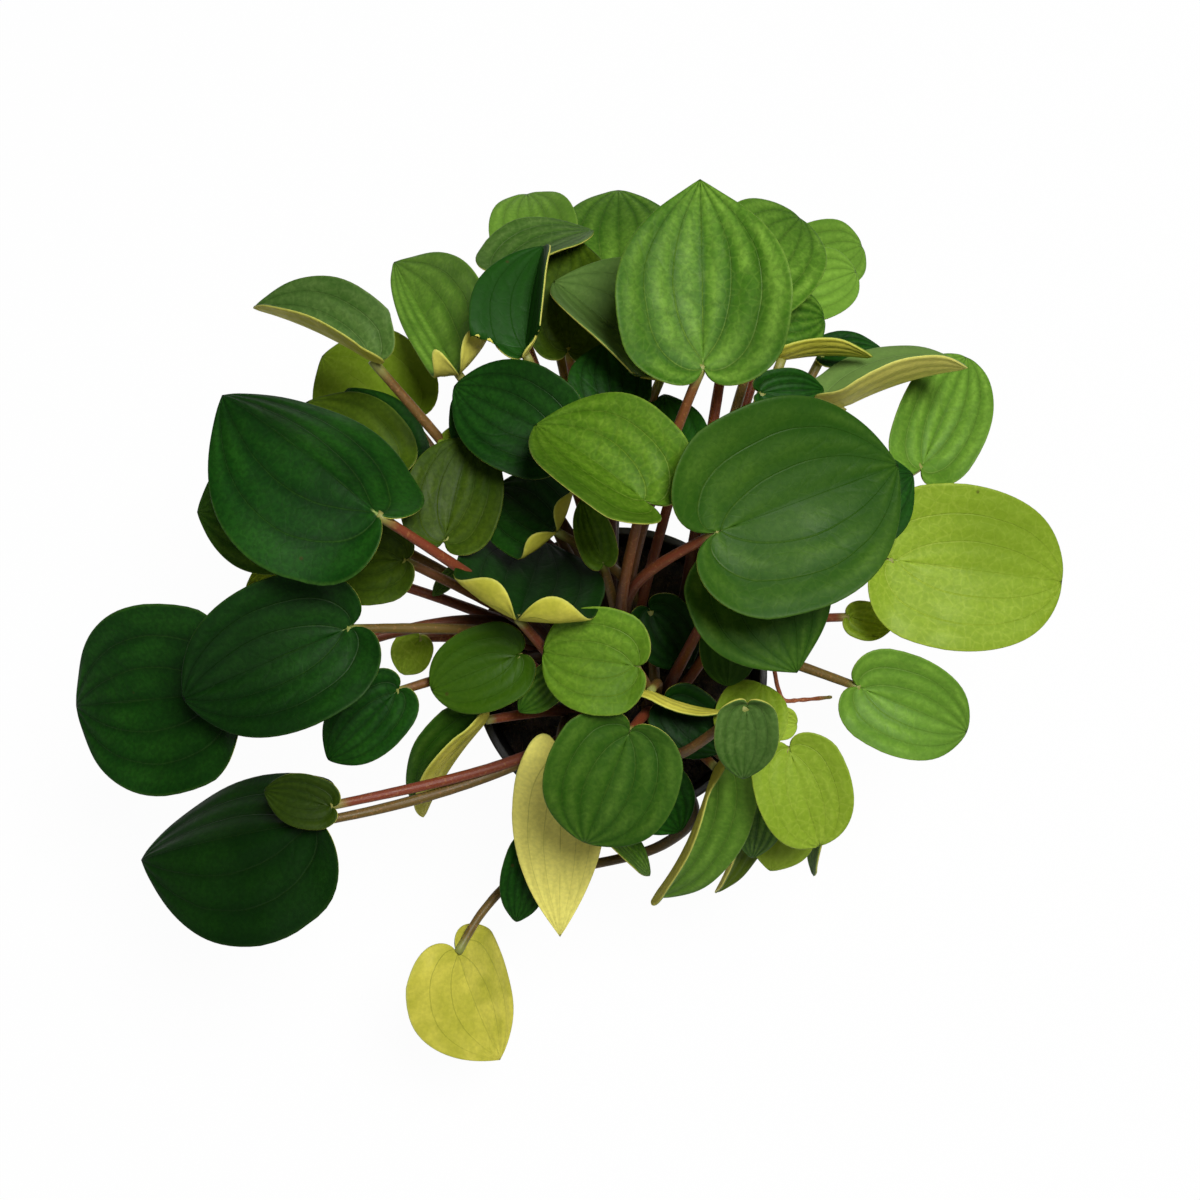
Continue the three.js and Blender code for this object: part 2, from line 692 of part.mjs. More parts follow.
function soil() {
  const bottom = floorThickness + fitGap;
  let body = turned([
    [0, bottom],
    [soilReach(bottom), bottom],
    [soilReach(soilTop), soilTop],
    [innerAt(soilTop) * 0.6, soilTop + soilDome * 0.8],
    [0, soilTop + soilDome],
  ], soilFacets);
  for (const { at } of Object.values(crowns)) {
    const low = new THREE.Vector3(at[0], at[1], soilTop - crownFootDepth - fitGap);
    const high = new THREE.Vector3(at[0], at[1], soilTop + soilDome + 10);
    const radius = (crownRadius + fitGap) / Math.cos(Math.PI / crownFacets);
    body = body.subtract(tube(new THREE.LineCurve3(low, high), 1, crownFacets, radius, radius));
  }
  const foot = placeInRoom(flowerStalkLine[0]);
  const collar = placeInRoom(flowerStalkLine[1]);
  const down = foot.clone().sub(collar);
  const sump = foot.clone().addScaledVector(down, flowerHoleDepth);
  const mouth = collar.clone().sub(down);
  const hole = new THREE.LineCurve3(sump, mouth);
  return body.subtract(tube(hole, 1, 8, flowerHoleRadius, flowerHoleRadius));
}

// Solids and meshes

function solid(positions, triangles) {
  const mesh = new wasm.Mesh({
    numProp: 3,
    vertProperties: new Float32Array(positions),
    triVerts: new Uint32Array(triangles),
  });
  return new wasm.Manifold(mesh);
}

// The one body that is left when the specks that simplifying cuts loose are dropped.
function largest(body) {
  return body.decompose().sort((one, other) => other.volume() - one.volume())[0];
}

function mesh(name, body, colour, roughness) {
  const { vertProperties, triVerts } = body.getMesh();
  const geometry = new THREE.BufferGeometry();
  geometry.setAttribute("position", new THREE.BufferAttribute(new Float32Array(vertProperties), 3));
  geometry.setIndex(new THREE.BufferAttribute(new Uint32Array(triVerts), 1));
  geometry.computeVertexNormals();
  const material = new THREE.MeshStandardMaterial({ color: colour, roughness, metalness: 0 });
  const result = new THREE.Mesh(geometry, material);
  result.name = name;
  return result;
}

const plant = new THREE.Group();
plant.add(mesh("pot", pot(), potColour, 0.6));
plant.add(mesh("soil", soil(), soilColour, 0.95));

const grown = leaves.map((row, index) => ({ ...leafDefaults, phase: (index * 2.4) % 6.28, ...row }));
for (const name of Object.keys(crowns)) {
  let body = crownStem(name);
  for (const leaf of grown.filter((one) => one.crown === name)) {
    const line = petioleCurve(leaf);
    const wanted = Math.round(line.getLength() / petioleStepLength);
    const steps = leaf.via ? wanted : THREE.MathUtils.clamp(wanted, ...petioleStepRange);
    body = body.add(tube(line, steps, petioleSides, petioleFootRadius, petioleTipRadius));
    if (leaf.fused) {
      body = body.add(bladeSolid(leaf));
    }
  }
  plant.add(mesh(`stems_${name}`, largest(body.simplify(simplifyWithin)), stemColour, 0.6));
}
plant.add(mesh("flower_stalk", flowerStalk(), flowerColour, 0.5));
for (const leaf of grown.filter((one) => !one.fused)) {
  plant.add(mesh(leaf.name, bladeSolid(leaf), ...tones[leaf.tone]));
}

export default plant;
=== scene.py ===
"""A rana verde peperomia in its black nursery pot: fine blades, petioles, crowns, flower stalk, soil and
pot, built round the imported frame. Sizes are millimetres, +Z up from the pot's base, and every piece's mesh
is scaled to metres."""
import math

import bpy
import numpy as np
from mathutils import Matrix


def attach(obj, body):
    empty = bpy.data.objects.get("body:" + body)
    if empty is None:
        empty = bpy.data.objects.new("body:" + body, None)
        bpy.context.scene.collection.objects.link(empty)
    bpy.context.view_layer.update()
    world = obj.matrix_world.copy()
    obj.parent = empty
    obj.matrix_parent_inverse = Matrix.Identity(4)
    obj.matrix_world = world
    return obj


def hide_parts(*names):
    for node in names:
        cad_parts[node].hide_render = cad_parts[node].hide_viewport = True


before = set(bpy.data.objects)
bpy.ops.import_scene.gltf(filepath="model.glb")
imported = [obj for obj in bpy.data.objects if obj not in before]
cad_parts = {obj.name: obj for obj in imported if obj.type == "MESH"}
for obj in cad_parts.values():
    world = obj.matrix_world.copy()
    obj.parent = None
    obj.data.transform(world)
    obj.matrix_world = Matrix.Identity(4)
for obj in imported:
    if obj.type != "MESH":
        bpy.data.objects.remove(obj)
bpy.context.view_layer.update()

MM = 0.001
rng = np.random.default_rng(7)

# Pot and soil
POT_HEIGHT = 105.0
RIM_RADIUS = 60.0
RIM_BAND = 9.0
RIM_STEP = 1.8
BAND_TAPER = 0.3
BASE_RADIUS = 43.0
WALL = 1.6
FLOOR = 2.0
DRAIN_HOLES = 8
DRAIN_RADIUS = 4.0
DRAIN_CIRCLE = 31.0
POT_ROUNDING = 0.9
POT_FACETS = 144
SOIL_TOP = 93.0
SOIL_DOME = 3.0
SOIL_GAP = 0.6
SOIL_SEAT = 0.4
SOIL_LUMPS = 0.55
SOIL_FACETS = 96
CRUMBS = 1500
CRUMB_REACH = (0.5, 1.6)

# Crowns: where each stands in the soil, and how far its top leans
CROWNS = {
    "left": ((-19, 5), (-3, 1)),
    "back": ((-4, 21), (0, 3)),
    "right": ((20, 12), (3, 1)),
    "front": ((13, -14), (1, -3)),
    "near": ((-12, -15), (-2, -2)),
    "middle": ((2, 2), (0, 0)),
}
CROWN_RISE = 9
CROWN_DEPTH = 18
CROWN_TOP = SOIL_TOP + SOIL_DOME + CROWN_RISE
CROWN_RADIUS = 4.6
CROWN_TOP_RADIUS = 3.4
LEAF_SCARS = 9
SCAR_DEPTH = 0.07

# Petioles
FOOT_RADIUS = 2.5
TIP_RADIUS = 1.7
FOOT_SWELL = 0.22
NECK_SWELL = 0.3
FOOT_OUT = 2
FOOT_DEPTH = (0.7, 3)
PETIOLE_LIFT = 0.55
PETIOLE_SHOULDER = 0.12
PETIOLE_REACH = 0.34
PETIOLE_MIN_FACING = 0.45
PETIOLE_SIDES = 12
RING_STEP = 3.5
PETIOLE_RINGS = (14, 46)
HANGING_RINGS = 64

# Blades
BLADE_THICKNESS = 1.1
WIDEST_AT = 0.33
SCROLL_START = 0.07
WAVE = 0.012
RIPPLE = 0.005
VEIN_STEP = 0.33
QUILT = 0.003
PUCKER = 0.0007
FULL_RELIEF_LENGTH = 70

# Grid of a blade: rows along it and lines across its face, then the lines that round its edge
EDGE_START = 0.94
EDGE_LINES = np.array([0.965, 0.985, 0.996, 1.0])
FINE_FROM = 46
FINE_GRID = (42, 37)
PLAIN_GRID = (28, 25)
POLE_CROWDING = 0.012

# The view from above in which the leaves are placed: a square frame, tilted off the vertical
FRAME_SIZE = 1200
VIEW_TILT = math.radians(10)
VIEW_DISTANCE = 700.0
RIM_CENTRE = (620.5, 670.5)
RIM_IN_FRAME = 147.0

# Each blade's waves start a little further on than those of the one before it
PHASE_STEP = 2.4
PHASE_TURN = 6.28


def leaf(number, crown, base, tip, **changes):
    """One row of the leaf table: number, crown, base and tip as (across, down, height over the rim), and
    the changes from the plain blade. lift and sway bend the petiole, roll turns the face, fold and curl
    raise the halves, bend drops the tip, scroll rolls the lobes up, lobe is their reach behind the base,
    blunt rounds the tip, tone names the upper face's colours, fused says that the solid is part of its
    stems, via leads a hanging petiole, and skew widens the half on the right, looking to the tip."""
    row = dict(lift=1, sway=0, roll=0, wide=0.98, fold=6, curl=22, bend=22, scroll=40, lobe=0.17, blunt=0.3,
               skew=0, tone="mid", fused=False, via=None)
    row.update(changes, number=number, crown=crown, base=base, tip=tip)
    return row


LEAVES = [
    leaf(1, "back", (540, 266, 76), (527, 194, 54), wide=0.9, blunt=0.7),
    leaf(2, "back", (500, 270, 86.4), (594, 231, 80.4), roll=-52, tone="grey"),
    leaf(
        3, "back", (525, 354, 108), (545, 246, 100), lift=0.35, sway=-14, roll=-34, fold=34,
        scroll=80, tone="dark",
    ),
    leaf(4, "back", (568, 347, 88), (572, 237, 80), wide=0.72, tone="olive"),
    leaf(
        5, "back", (662, 376, 101), (553, 282, 97), lift=0.8, sway=13, roll=44, fold=42, scroll=80,
        tone="grey",
    ),
    leaf(
        6, "middle", (703, 364, 132), (700, 179, 136), lift=1.15, sway=9, wide=0.96, lobe=0.15,
        blunt=0.05,
    ),
    leaf(7, "back", (620, 300, 72), (618, 190, 46), wide=0.8),
    leaf(8, "right", (735, 292, 108), (800, 218, 92), blunt=0.7),
    leaf(9, "right", (794, 270, 62), (862, 246, 50), wide=0.9, blunt=0.8),
    leaf(10, "right", (784, 298, 84), (856, 272, 74), wide=0.85, blunt=0.8),
    leaf(11, "right", (762, 326, 96), (824, 318, 88), blunt=0.8),
    leaf(12, "right", (782, 358, 100), (873, 357, 96), roll=-98, wide=0.6, tone="lime"),
    leaf(13, "right", (822, 356, 81), (882, 350, 75), roll=-30, wide=0.7, tone="dark", fused=True),
    leaf(
        14, "right", (843, 406, 97), (968, 368, 99), roll=-74, fold=26, curl=10, scroll=50,
        lobe=0.28, tone="grey",
    ),
    leaf(15, "right", (922, 465, 72), (966, 357, 64), wide=0.74, blunt=0.8),
    leaf(
        16, "middle", (720, 531, 128), (898, 465, 120), lift=1.15, sway=17, wide=1.12, lobe=0.22,
        blunt=0.45,
    ),
    leaf(17, "right", (826, 520, 98), (913, 474, 92), tone="dark"),
    leaf(18, "right", (894, 560, 66), (1062, 582, 58), wide=0.96, curl=10, blunt=0.9, tone="lime"),
    leaf(
        19, "left", (372, 360, 100), (253, 308, 96), lift=0.55, sway=-14, roll=46, wide=0.86,
        fold=40, tone="grey",
    ),
    leaf(20, "left", (404, 412, 42), (322, 356, 36), wide=1.2, lobe=0.26, tone="lime"),
    leaf(21, "left", (396, 480, 54), (348, 388, 50), roll=20, wide=0.85, tone="dark"),
    leaf(22, "left", (388, 470, 66), (306, 402, 60), roll=20, wide=0.85, tone="olive"),
    leaf(
        23, "left", (377, 514, 119), (222, 395, 109), sway=1, roll=28, wide=0.92, fold=-24, curl=4,
        lobe=0.1, blunt=0.1, tone="dark",
    ),
    leaf(24, "left", (320, 508, 60), (199, 526, 50), wide=0.8),
    leaf(25, "left", (318, 560, 53), (246, 588, 47), wide=0.6, tone="lime", fused=True),
    leaf(26, "left", (346, 629, 88), (183, 699, 78), sway=-3, wide=0.88, blunt=0.5, tone="dark"),
    leaf(
        27, "left", (236, 690, 66), (76, 706, 34), lift=1.05, sway=-22, wide=1.04, blunt=0.6,
        tone="dark",
    ),
    leaf(
        28, "near", (314, 822, 56), (141, 860, 24), lift=0.8, sway=18, roll=26, wide=0.95, fold=-18,
        curl=4, lobe=0.1, blunt=0.2, tone="dark",
    ),
    leaf(29, "near", (330, 806, 63), (264, 790, 59), lift=0.8, sway=19, wide=0.8, tone="olive"),
    leaf(30, "left", (404, 694, 62), (328, 760, 52), wide=0.86, blunt=0.4, tone="dark"),
    leaf(31, "left", (419, 638, 36), (402, 674, 26), wide=0.95, tone="lime", fused=True),
    leaf(32, "left", (455, 571, 53), (433, 596, 47), wide=0.5, tone="grey", fused=True),
    leaf(33, "left", (403, 560, 71), (316, 563, 61), blunt=0.8, tone="olive"),
    leaf(34, "left", (445, 538, 91), (470, 438, 91), blunt=0.7, tone="olive"),
    leaf(35, "back", (458, 464, 81), (457, 424, 79), lift=0.65, sway=-1, tone="lime", fused=True),
    leaf(36, "back", (560, 440, 107), (454, 386, 99), lift=0.85, wide=0.92, blunt=0.4, tone="dark"),
    leaf(
        37, "middle", (643, 500, 130), (535, 425, 122), sway=6, roll=30, wide=1.18, fold=20,
        lobe=0.28, tone="light",
    ),
    leaf(38, "back", (578, 470, 82), (519, 423, 78), wide=0.7, tone="dark", fused=True),
    leaf(39, "back", (520, 445, 88), (452, 400, 82), lift=0.3, sway=7, tone="dark", fused=True),
    leaf(
        40, "back", (457, 372, 85), (394, 262, 47), lift=1.1, sway=1, roll=4, wide=0.5, fold=16,
        bend=0, scroll=112, lobe=0.3,
    ),
    leaf(
        41, "middle", (554, 530, 93), (497, 486, 71), sway=-23, bend=0, scroll=110, lobe=0.34,
        tone="dark",
    ),
    leaf(
        42, "near", (518, 618, 97), (545, 542, 55), lift=0.65, sway=-2, wide=1.02, bend=0,
        scroll=108, lobe=0.34, tone="dark",
    ),
    leaf(
        43, "middle", (602, 560, 83), (582, 498, 87), lift=1.05, wide=0.7, fold=20, tone="light",
        fused=True,
    ),
    leaf(45, "front", (738, 556, 100), (797, 673, 92), lift=1.05, sway=-1, wide=1.14, blunt=0.1),
    leaf(46, "front", (650, 610, 50), (690, 668, 42), tone="dark", fused=True),
    leaf(47, "front", (728, 620, 68), (728, 686, 58), sway=-5, wide=0.9, blunt=0.6),
    leaf(48, "front", (742, 738, 48), (762, 684, 46), wide=1.3, blunt=1, tone="lime"),
    leaf(49, "front", (768, 722, 30), (797, 724, 28), wide=1.2, blunt=1, tone="lime", fused=True),
    leaf(
        50, "front", (747, 706, 99), (743, 779, 85), lift=1.05, sway=-34, wide=0.84, scroll=70,
        tone="grey",
    ),
    leaf(51, "front", (790, 751, 53), (820, 846, 41), lift=0.65, blunt=0.9, tone="lime"),
    leaf(52, "front", (790, 805, 10), (770, 871, 0), sway=23, tone="lime", fused=True),
    leaf(53, "front", (716, 768, 46), (654, 896, -8), lift=0.5, roll=-46, wide=0.6, fold=34, blunt=0.9),
    leaf(54, "front", (752, 780, 15), (715, 893, -25), roll=-46, wide=0.42, fold=30, tone="olive"),
    leaf(55, "front", (764, 778, 35), (752, 858, 5), wide=0.5, fused=True),
    leaf(56, "front", (822, 830, 6), (814, 876, -14), roll=70, wide=0.4, tone="grey", fused=True),
    leaf(57, "right", (857, 684, 50), (967, 732, 42), blunt=0.7),
    leaf(58, "right", (850, 617, 44), (892, 628, 40), wide=0.9, tone="lime", fused=True),
    leaf(59, "front", (635, 666, 88), (543, 652, 82), wide=1.16, curl=12, blunt=0.9, tone="light"),
    leaf(60, "front", (629, 733, 78), (585, 843, 58), sway=-1, wide=1.1, blunt=0.6),
    leaf(
        61, "near", (562, 768, 44), (560, 937, -4), lift=1.25, sway=-12, roll=172, wide=0.48,
        tone="under",
    ),
    leaf(62, "near", (532, 846, 0), (516, 922, -16), wide=0.6, tone="dark", fused=True),
    leaf(
        63, "front", (457, 953, -24), (500, 1060, -38), lift=0.8, sway=-13, roll=140, wide=1.12,
        tone="under",
        via=[(668, 760, 16), (694, 812, 6), (662, 845, -10), (584, 866, -22),
             (520, 876, -26), (484, 910, -26)],
    ),
    leaf(64, "near", (517, 655, 68), (431, 690, 62), wide=0.95, blunt=0.7, tone="light"),
    leaf(65, "near", (560, 672, 67), (519, 712, 59), wide=0.7, fused=True),
    leaf(66, "near", (478, 718, 48), (424, 817, 10), roll=44, wide=0.74, fold=56),
    leaf(67, "front", (642, 772, 38), (680, 832, 24), tone="dark", fused=True),
    leaf(68, "near", (608, 832, 9), (650, 876, -7), roll=-50, wide=0.5, fused=True),
    leaf(
        69, "front", (650, 692, 63), (728, 712, 55), lift=0.9, roll=95, wide=0.5, tone="under",
        fused=True,
    ),
    leaf(70, "front", (668, 704, 48), (722, 752, 42), tone="dark"),
    leaf(71, "right", (762, 392, 102), (824, 390, 96), wide=0.7, tone="dark", fused=True),
    leaf(72, "back", (612, 412, 107), (606, 343, 103), lift=0.85, wide=1.15, tone="dark"),
    leaf(73, "middle", (676, 476, 98), (664, 394, 94), lift=0.8, wide=0.9, tone="dark", fused=True),
]

# Cut of some blades, a little finer than that of their solids
CUT = {
    1: dict(wide=0.8),
    5: dict(roll=30, fold=30, wide=1.1),
    23: dict(wide=0.98, blunt=0.45, skew=-0.12),
    24: dict(tip=(197, 512, 50), wide=1.05),
    27: dict(base=(228, 692, 66), wide=1.02, lobe=0.13, blunt=0.4),
    28: dict(roll=30, blunt=0.5, wide=0.86, skew=-0.22),
    30: dict(base=(396, 692, 62), wide=0.8),
    40: dict(wide=0.52, skew=0.45),
    53: dict(wide=0.52),
    57: dict(base=(861, 688, 50), wide=0.9),
    61: dict(blunt=0.05),
    66: dict(base=(486, 720, 48), wide=0.62),
}

# Darkness of some blades, from their age and from painted light and shade: 0 is pale, 1 dark
AGES_AND_LIGHT = {
    0.0: (49, 61), 0.1: (54,), 0.15: (14,), 0.2: (10, 52), 0.25: (1, 3, 9, 57), 0.3: (5, 15, 53),
    0.35: (22, 59), 0.4: (8,), 0.45: (6, 7), 0.5: (23, 63), 0.55: (27,), 0.6: (2, 19, 37, 48, 50),
    0.65: (36,), 0.7: (4, 26), 0.75: (33, 34), 0.8: (20, 24, 29, 42, 45), 0.85: (28, 60),
    0.9: (12, 16, 47, 66), 0.95: (64,),
}
AGE_AND_LIGHT = {number: age_and_light for age_and_light, numbers in AGES_AND_LIGHT.items() for number in numbers}

for order, row in enumerate(LEAVES):
    row.update(CUT.get(row["number"], {}), phase=(order * PHASE_STEP) % PHASE_TURN)

# Flower stalk, as points of the same view
FLOWER_LINE = [
    (728, 652, -26), (734, 652, -12), (752, 646, 8), (771, 660, 16),
    (778, 688, 14), (784, 700, 12), (800, 700, 14), (832, 697, 18),
]


# Placing

LOOK = np.array([0, math.sin(VIEW_TILT), -math.cos(VIEW_TILT)])
ACROSS = np.array([1.0, 0, 0])
DOWN = -np.array([0, math.cos(VIEW_TILT), math.sin(VIEW_TILT)])
FOCAL = RIM_IN_FRAME / RIM_RADIUS * VIEW_DISTANCE
EYE = (np.array([0, 0, POT_HEIGHT]) - VIEW_DISTANCE * LOOK
       + ACROSS * (FRAME_SIZE / 2 - RIM_CENTRE[0]) / FOCAL * VIEW_DISTANCE
       + DOWN * (FRAME_SIZE / 2 - RIM_CENTRE[1]) / FOCAL * VIEW_DISTANCE)


def unit(vector):
    """A vector over its length."""
    return vector / np.maximum(np.linalg.norm(vector, axis=-1, keepdims=True), 1e-12)


def in_room(place):
    """The point where the ray through (across, down) meets the level plane at a height over the rim."""
    across, down, height = place
    ray = LOOK + ACROSS * (across - FRAME_SIZE / 2) / FOCAL + DOWN * (down - FRAME_SIZE / 2) / FOCAL
    return EYE + ray * (POT_HEIGHT + height - EYE[2]) / ray[2]


# Curves

def bezier(corners, t):
    """(1-t)^3 A + 3 (1-t)^2 t B + 3 (1-t) t^2 C + t^3 D."""
    t = np.asarray(t, float)[..., None]
    a, b, c, d = (np.asarray(corner, float) for corner in corners)
    return (1 - t) ** 3 * a + 3 * (1 - t) ** 2 * t * b + 3 * (1 - t) * t ** 2 * c + t ** 3 * d


def through(points, t):
    """Centripetal Catmull-Rom: on each span a Hermite cubic whose slopes weigh the neighbouring chords by
    the square roots of their lengths."""
    points = np.asarray(points, float)
    spans = len(points) - 1
    whole = np.vstack([2 * points[0] - points[1], points, 2 * points[-1] - points[-2]])
    at = np.clip(np.asarray(t, float) * spans, 0, spans - 1e-9)
    k = at.astype(int)
    u = (at - k)[:, None]
    p0, p1, p2, p3 = (whole[k + j] for j in range(4))
    step = [np.maximum(np.linalg.norm(b - a, axis=1, keepdims=True) ** 0.5, 1e-6)
            for a, b in ((p0, p1), (p1, p2), (p2, p3))]
    m1 = ((p1 - p0) / step[0] - (p2 - p0) / (step[0] + step[1]) + (p2 - p1) / step[1]) * step[1]
    m2 = ((p2 - p1) / step[1] - (p3 - p1) / (step[1] + step[2]) + (p3 - p2) / step[2]) * step[1]
    return ((2 * u ** 3 - 3 * u ** 2 + 1) * p1 + (u ** 3 - 2 * u ** 2 + u) * m1
            + (3 * u ** 2 - 2 * u ** 3) * p2 + (u ** 3 - u ** 2) * m2)


def smooth(low, high, value):
    """0 below low, 1 above high, and x^2 (3 - 2x) between."""
    x = np.clip((value - low) / (high - low), 0, 1)
    return x * x * (3 - 2 * x)


# Blades

LOBE = ((0, 0), (0.01, -1.5), (0.47, -1.75), (0.5, 0))
POINTED = ((0.5, WIDEST_AT), (0.5, 0.66), (0.16, 0.86), (0, 1))
BLUNT = ((0.5, WIDEST_AT), (0.5, 0.75), (0.3, 1), (0, 1))


def outline(t, row):
    """Half of a heart: round the lobe for t under a half, then a flank that goes from pointed to blunt."""
    lobe = bezier(LOBE, 2 * np.minimum(t, 0.5))
    rise = 2 * np.maximum(t, 0.5) - 1
    flank = bezier(POINTED, rise) * (1 - row["blunt"]) + bezier(BLUNT, rise) * row["blunt"]
    y = row["lobe"] * lobe[..., 1] + WIDEST_AT * (2 * t) ** 3
    return np.where(t < 0.5, lobe[..., 0], flank[..., 0]), np.where(t < 0.5, y, flank[..., 1])


def arc(a, start, k):
    """How far an arc of length a and curvature k, that sets out at an angle, runs along and across."""
    k = k if abs(k) > 1e-6 else 1e-6
    return (np.sin(start + k * a) - np.sin(start)) / k, (np.cos(start) - np.cos(start + k * a)) / k


def spine(y, row):
    """The midrib: rolled up behind SCROLL_START at one curvature, drooping ahead of it at another."""
    roll_rate = math.radians(row["scroll"]) / (SCROLL_START + row["lobe"])
    droop_rate = math.radians(row["bend"])
    back = arc(SCROLL_START - y, 0, roll_rate)
    ahead = arc(y - SCROLL_START, 0, droop_rate)
    behind = y < SCROLL_START
    return (np.where(behind, -back[0], ahead[0]), np.where(behind, back[1], -ahead[1]),
            np.where(behind, roll_rate * (SCROLL_START - y), droop_rate * (y - SCROLL_START)))


def blade_point(t, s, row, relief=0.0):
    """The blade one long: t from the base to the tip, s from the left edge at -1 to the right edge at 1. The
    outline's width is scaled by wide (1 + skew sign s), the halves fold and curl up by an arc across, the
    midrib follows its spine, and the edge waves as sin(9t). With relief the panels between the arched veins
    swell as |sin(pi s / step)| and pucker along them, and the edge ripples as s^3 sin(23t)."""
    edge_x, edge_y = outline(t, row)
    side = np.abs(s)
    y = (1 - side) * t + side * edge_y
    across = side * edge_x * row["wide"] * (1 + row["skew"] * np.sign(s))
    out, rise = arc(across, math.radians(row["fold"]),
                    math.radians(row["curl"]) / (row["wide"] / 2))
    bell = np.sin(np.pi * np.clip(t, 0, 1))
    wave = WAVE * s * s * np.sin(9 * t + row["phase"] + np.where(s > 0, 2, 0)) * bell
    panel = np.abs(np.sin(np.pi * side / VEIN_STEP)) ** 0.7 * (1 - smooth(0.8, 1, side))
    pucker = np.sin(2 * np.pi * (8 * t - 3.2 * side) + row["phase"]) * panel
    lift = rise + wave + relief * (QUILT * panel * bell ** 0.5 + PUCKER * pucker * bell
                                   + RIPPLE * side ** 3 * np.sin(23 * t + 2 * row["phase"] + 3 * s) * bell)
    along, up, slope = spine(y, row)
    return np.stack([np.sign(s) * out, along + lift * np.sin(slope), up + lift * np.cos(slope)], -1)


def blade_frame(row):
    """What takes the unit blade to its place: turn, which is three directions times the blade's length, and
    the origin put its midrib from the leaf's base to its tip, with its face towards the view turned by its
    roll. Also the base, the length and the face's normal at the base."""
    base, tip = in_room(row["base"]), in_room(row["tip"])
    first, last = (blade_point(np.float64(t), np.float64(0), row) for t in (0.0, 1.0))
    chord = last - first
    angle = math.atan2(chord[2], chord[1])
    length = np.linalg.norm(tip - base) / np.linalg.norm(chord)
    along = unit(tip - base)
    facing = unit(-LOOK + along * np.dot(LOOK, along))
    roll = math.radians(row["roll"])
    up = facing * math.cos(roll) + np.cross(along, facing) * math.sin(roll)
    forward = along * math.cos(angle) - up * math.sin(angle)
    normal = along * math.sin(angle) + up * math.cos(angle)
    turn = np.stack([np.cross(forward, normal), forward, normal]) * length
    return dict(turn=turn, origin=base - first @ turn, base=base, length=length, normal=normal)


def blade(row, age_and_light):
    """A closed sheet: the midsurface moved half a thickness both ways along its normal, the thickness going
    to nothing at the margin as the side of an ellipse, so both faces share one rounded edge and the two
    poles. Each point's lay is its s, its t and the blade's darkness from its age and painted light."""
    held = blade_frame(row)
    rows, lines = FINE_GRID if held["length"] > FINE_FROM else PLAIN_GRID
    inner = np.linspace(-EDGE_START, EDGE_START, lines)
    s_line = np.concatenate([-EDGE_LINES[::-1], inner, EDGE_LINES])
    t_line = np.linspace(0, 1, rows + 1)
    t_line[1:-1] = t_line[1:-1] - POLE_CROWDING * np.sin(2 * np.pi * t_line[1:-1])
    t, s = np.meshgrid(t_line, s_line, indexing="ij")
    relief = min(1.0, FULL_RELIEF_LENGTH / held["length"])
    middle = blade_point(t, s, row, relief) @ held["turn"] + held["origin"]
    tangent_t = np.gradient(middle, axis=0)
    tangent_s = np.gradient(middle, axis=1)
    normals = unit(np.cross(tangent_s, tangent_t))
    normals[0] = normals[1].mean(0)
    normals[-1] = normals[-2].mean(0)
    lean = np.clip((np.abs(s) - EDGE_START) / (1 - EDGE_START), 0, 1)
    half = BLADE_THICKNESS / 2 * np.sqrt(1 - lean ** 2) * np.minimum(1, np.sin(np.pi * t) * 6)
    top = middle + normals * half[..., None]
    bottom = middle - normals * half[..., None]
    lay = np.stack([s, t, np.full_like(s, age_and_light)], -1)
    count = len(s_line)
    body = rows - 1
    points = np.concatenate([middle[[0, -1], count // 2], top[1:-1].reshape(-1, 3),
                             bottom[1:-1, 1:-1].reshape(-1, 3)])
    lays = np.concatenate([lay[[0, -1], count // 2], lay[1:-1].reshape(-1, 3),
                           lay[1:-1, 1:-1].reshape(-1, 3)])
    upper = 2 + np.arange(body * count).reshape(body, count)
    lower = upper.copy()
    lower[:, 1:-1] = 2 + body * count + np.arange(body * (count - 2)).reshape(body, count - 2)
    quads = np.concatenate([
        np.stack([upper[:-1, :-1], upper[:-1, 1:], upper[1:, 1:], upper[1:, :-1]], -1).reshape(-1, 4),
        np.stack([lower[:-1, :-1], lower[1:, :-1], lower[1:, 1:], lower[:-1, 1:]], -1).reshape(-1, 4)])
    fans = []
    for grid, order in ((upper, 1), (lower, -1)):
        near = np.stack([np.zeros(count - 1, int), grid[0, 1:], grid[0, :-1]], -1)
        far = np.stack([np.ones(count - 1, int), grid[-1, :-1], grid[-1, 1:]], -1)
        fans.append(np.concatenate([near, far])[:, ::order])
    triangles = np.concatenate(fans)
    kinds = np.concatenate([np.repeat([0, 1], len(quads) // 2), np.repeat([0, 1], 2 * (count - 1))])
    return dict(points=points, lay=lays, quads=quads, triangles=triangles, kinds=kinds)


# Stems

def capped(rings, poles, tint):
    """Rings of points as one closed skin: squares between neighbouring rings, and at each end a fan to that
    end's pole. Each point's lay is its share of the turn, its share of the run and the tint."""
    count, sides = rings.shape[:2]
    around, along = np.meshgrid(np.arange(sides) / sides, np.linspace(0, 1, count))
    lay = np.stack([around, along, np.full_like(around, tint)], -1).reshape(-1, 3)
    ring = 2 + np.arange(count * sides).reshape(count, sides)
    beside = np.roll(ring, -1, 1)
    quads = np.stack([ring[:-1], beside[:-1], beside[1:], ring[1:]], -1).reshape(-1, 4)
    first = np.stack([np.zeros(sides, int), beside[0], ring[0]], -1)
    last = np.stack([np.ones(sides, int), ring[-1], beside[-1]], -1)
    return dict(points=np.concatenate([poles, rings.reshape(-1, 3)]),
                lay=np.concatenate([[(0, 0, tint), (0, 1, tint)], lay]),
                quads=quads, triangles=np.concatenate([first, last]),
                kinds=np.zeros(len(quads) + 2 * sides, int))


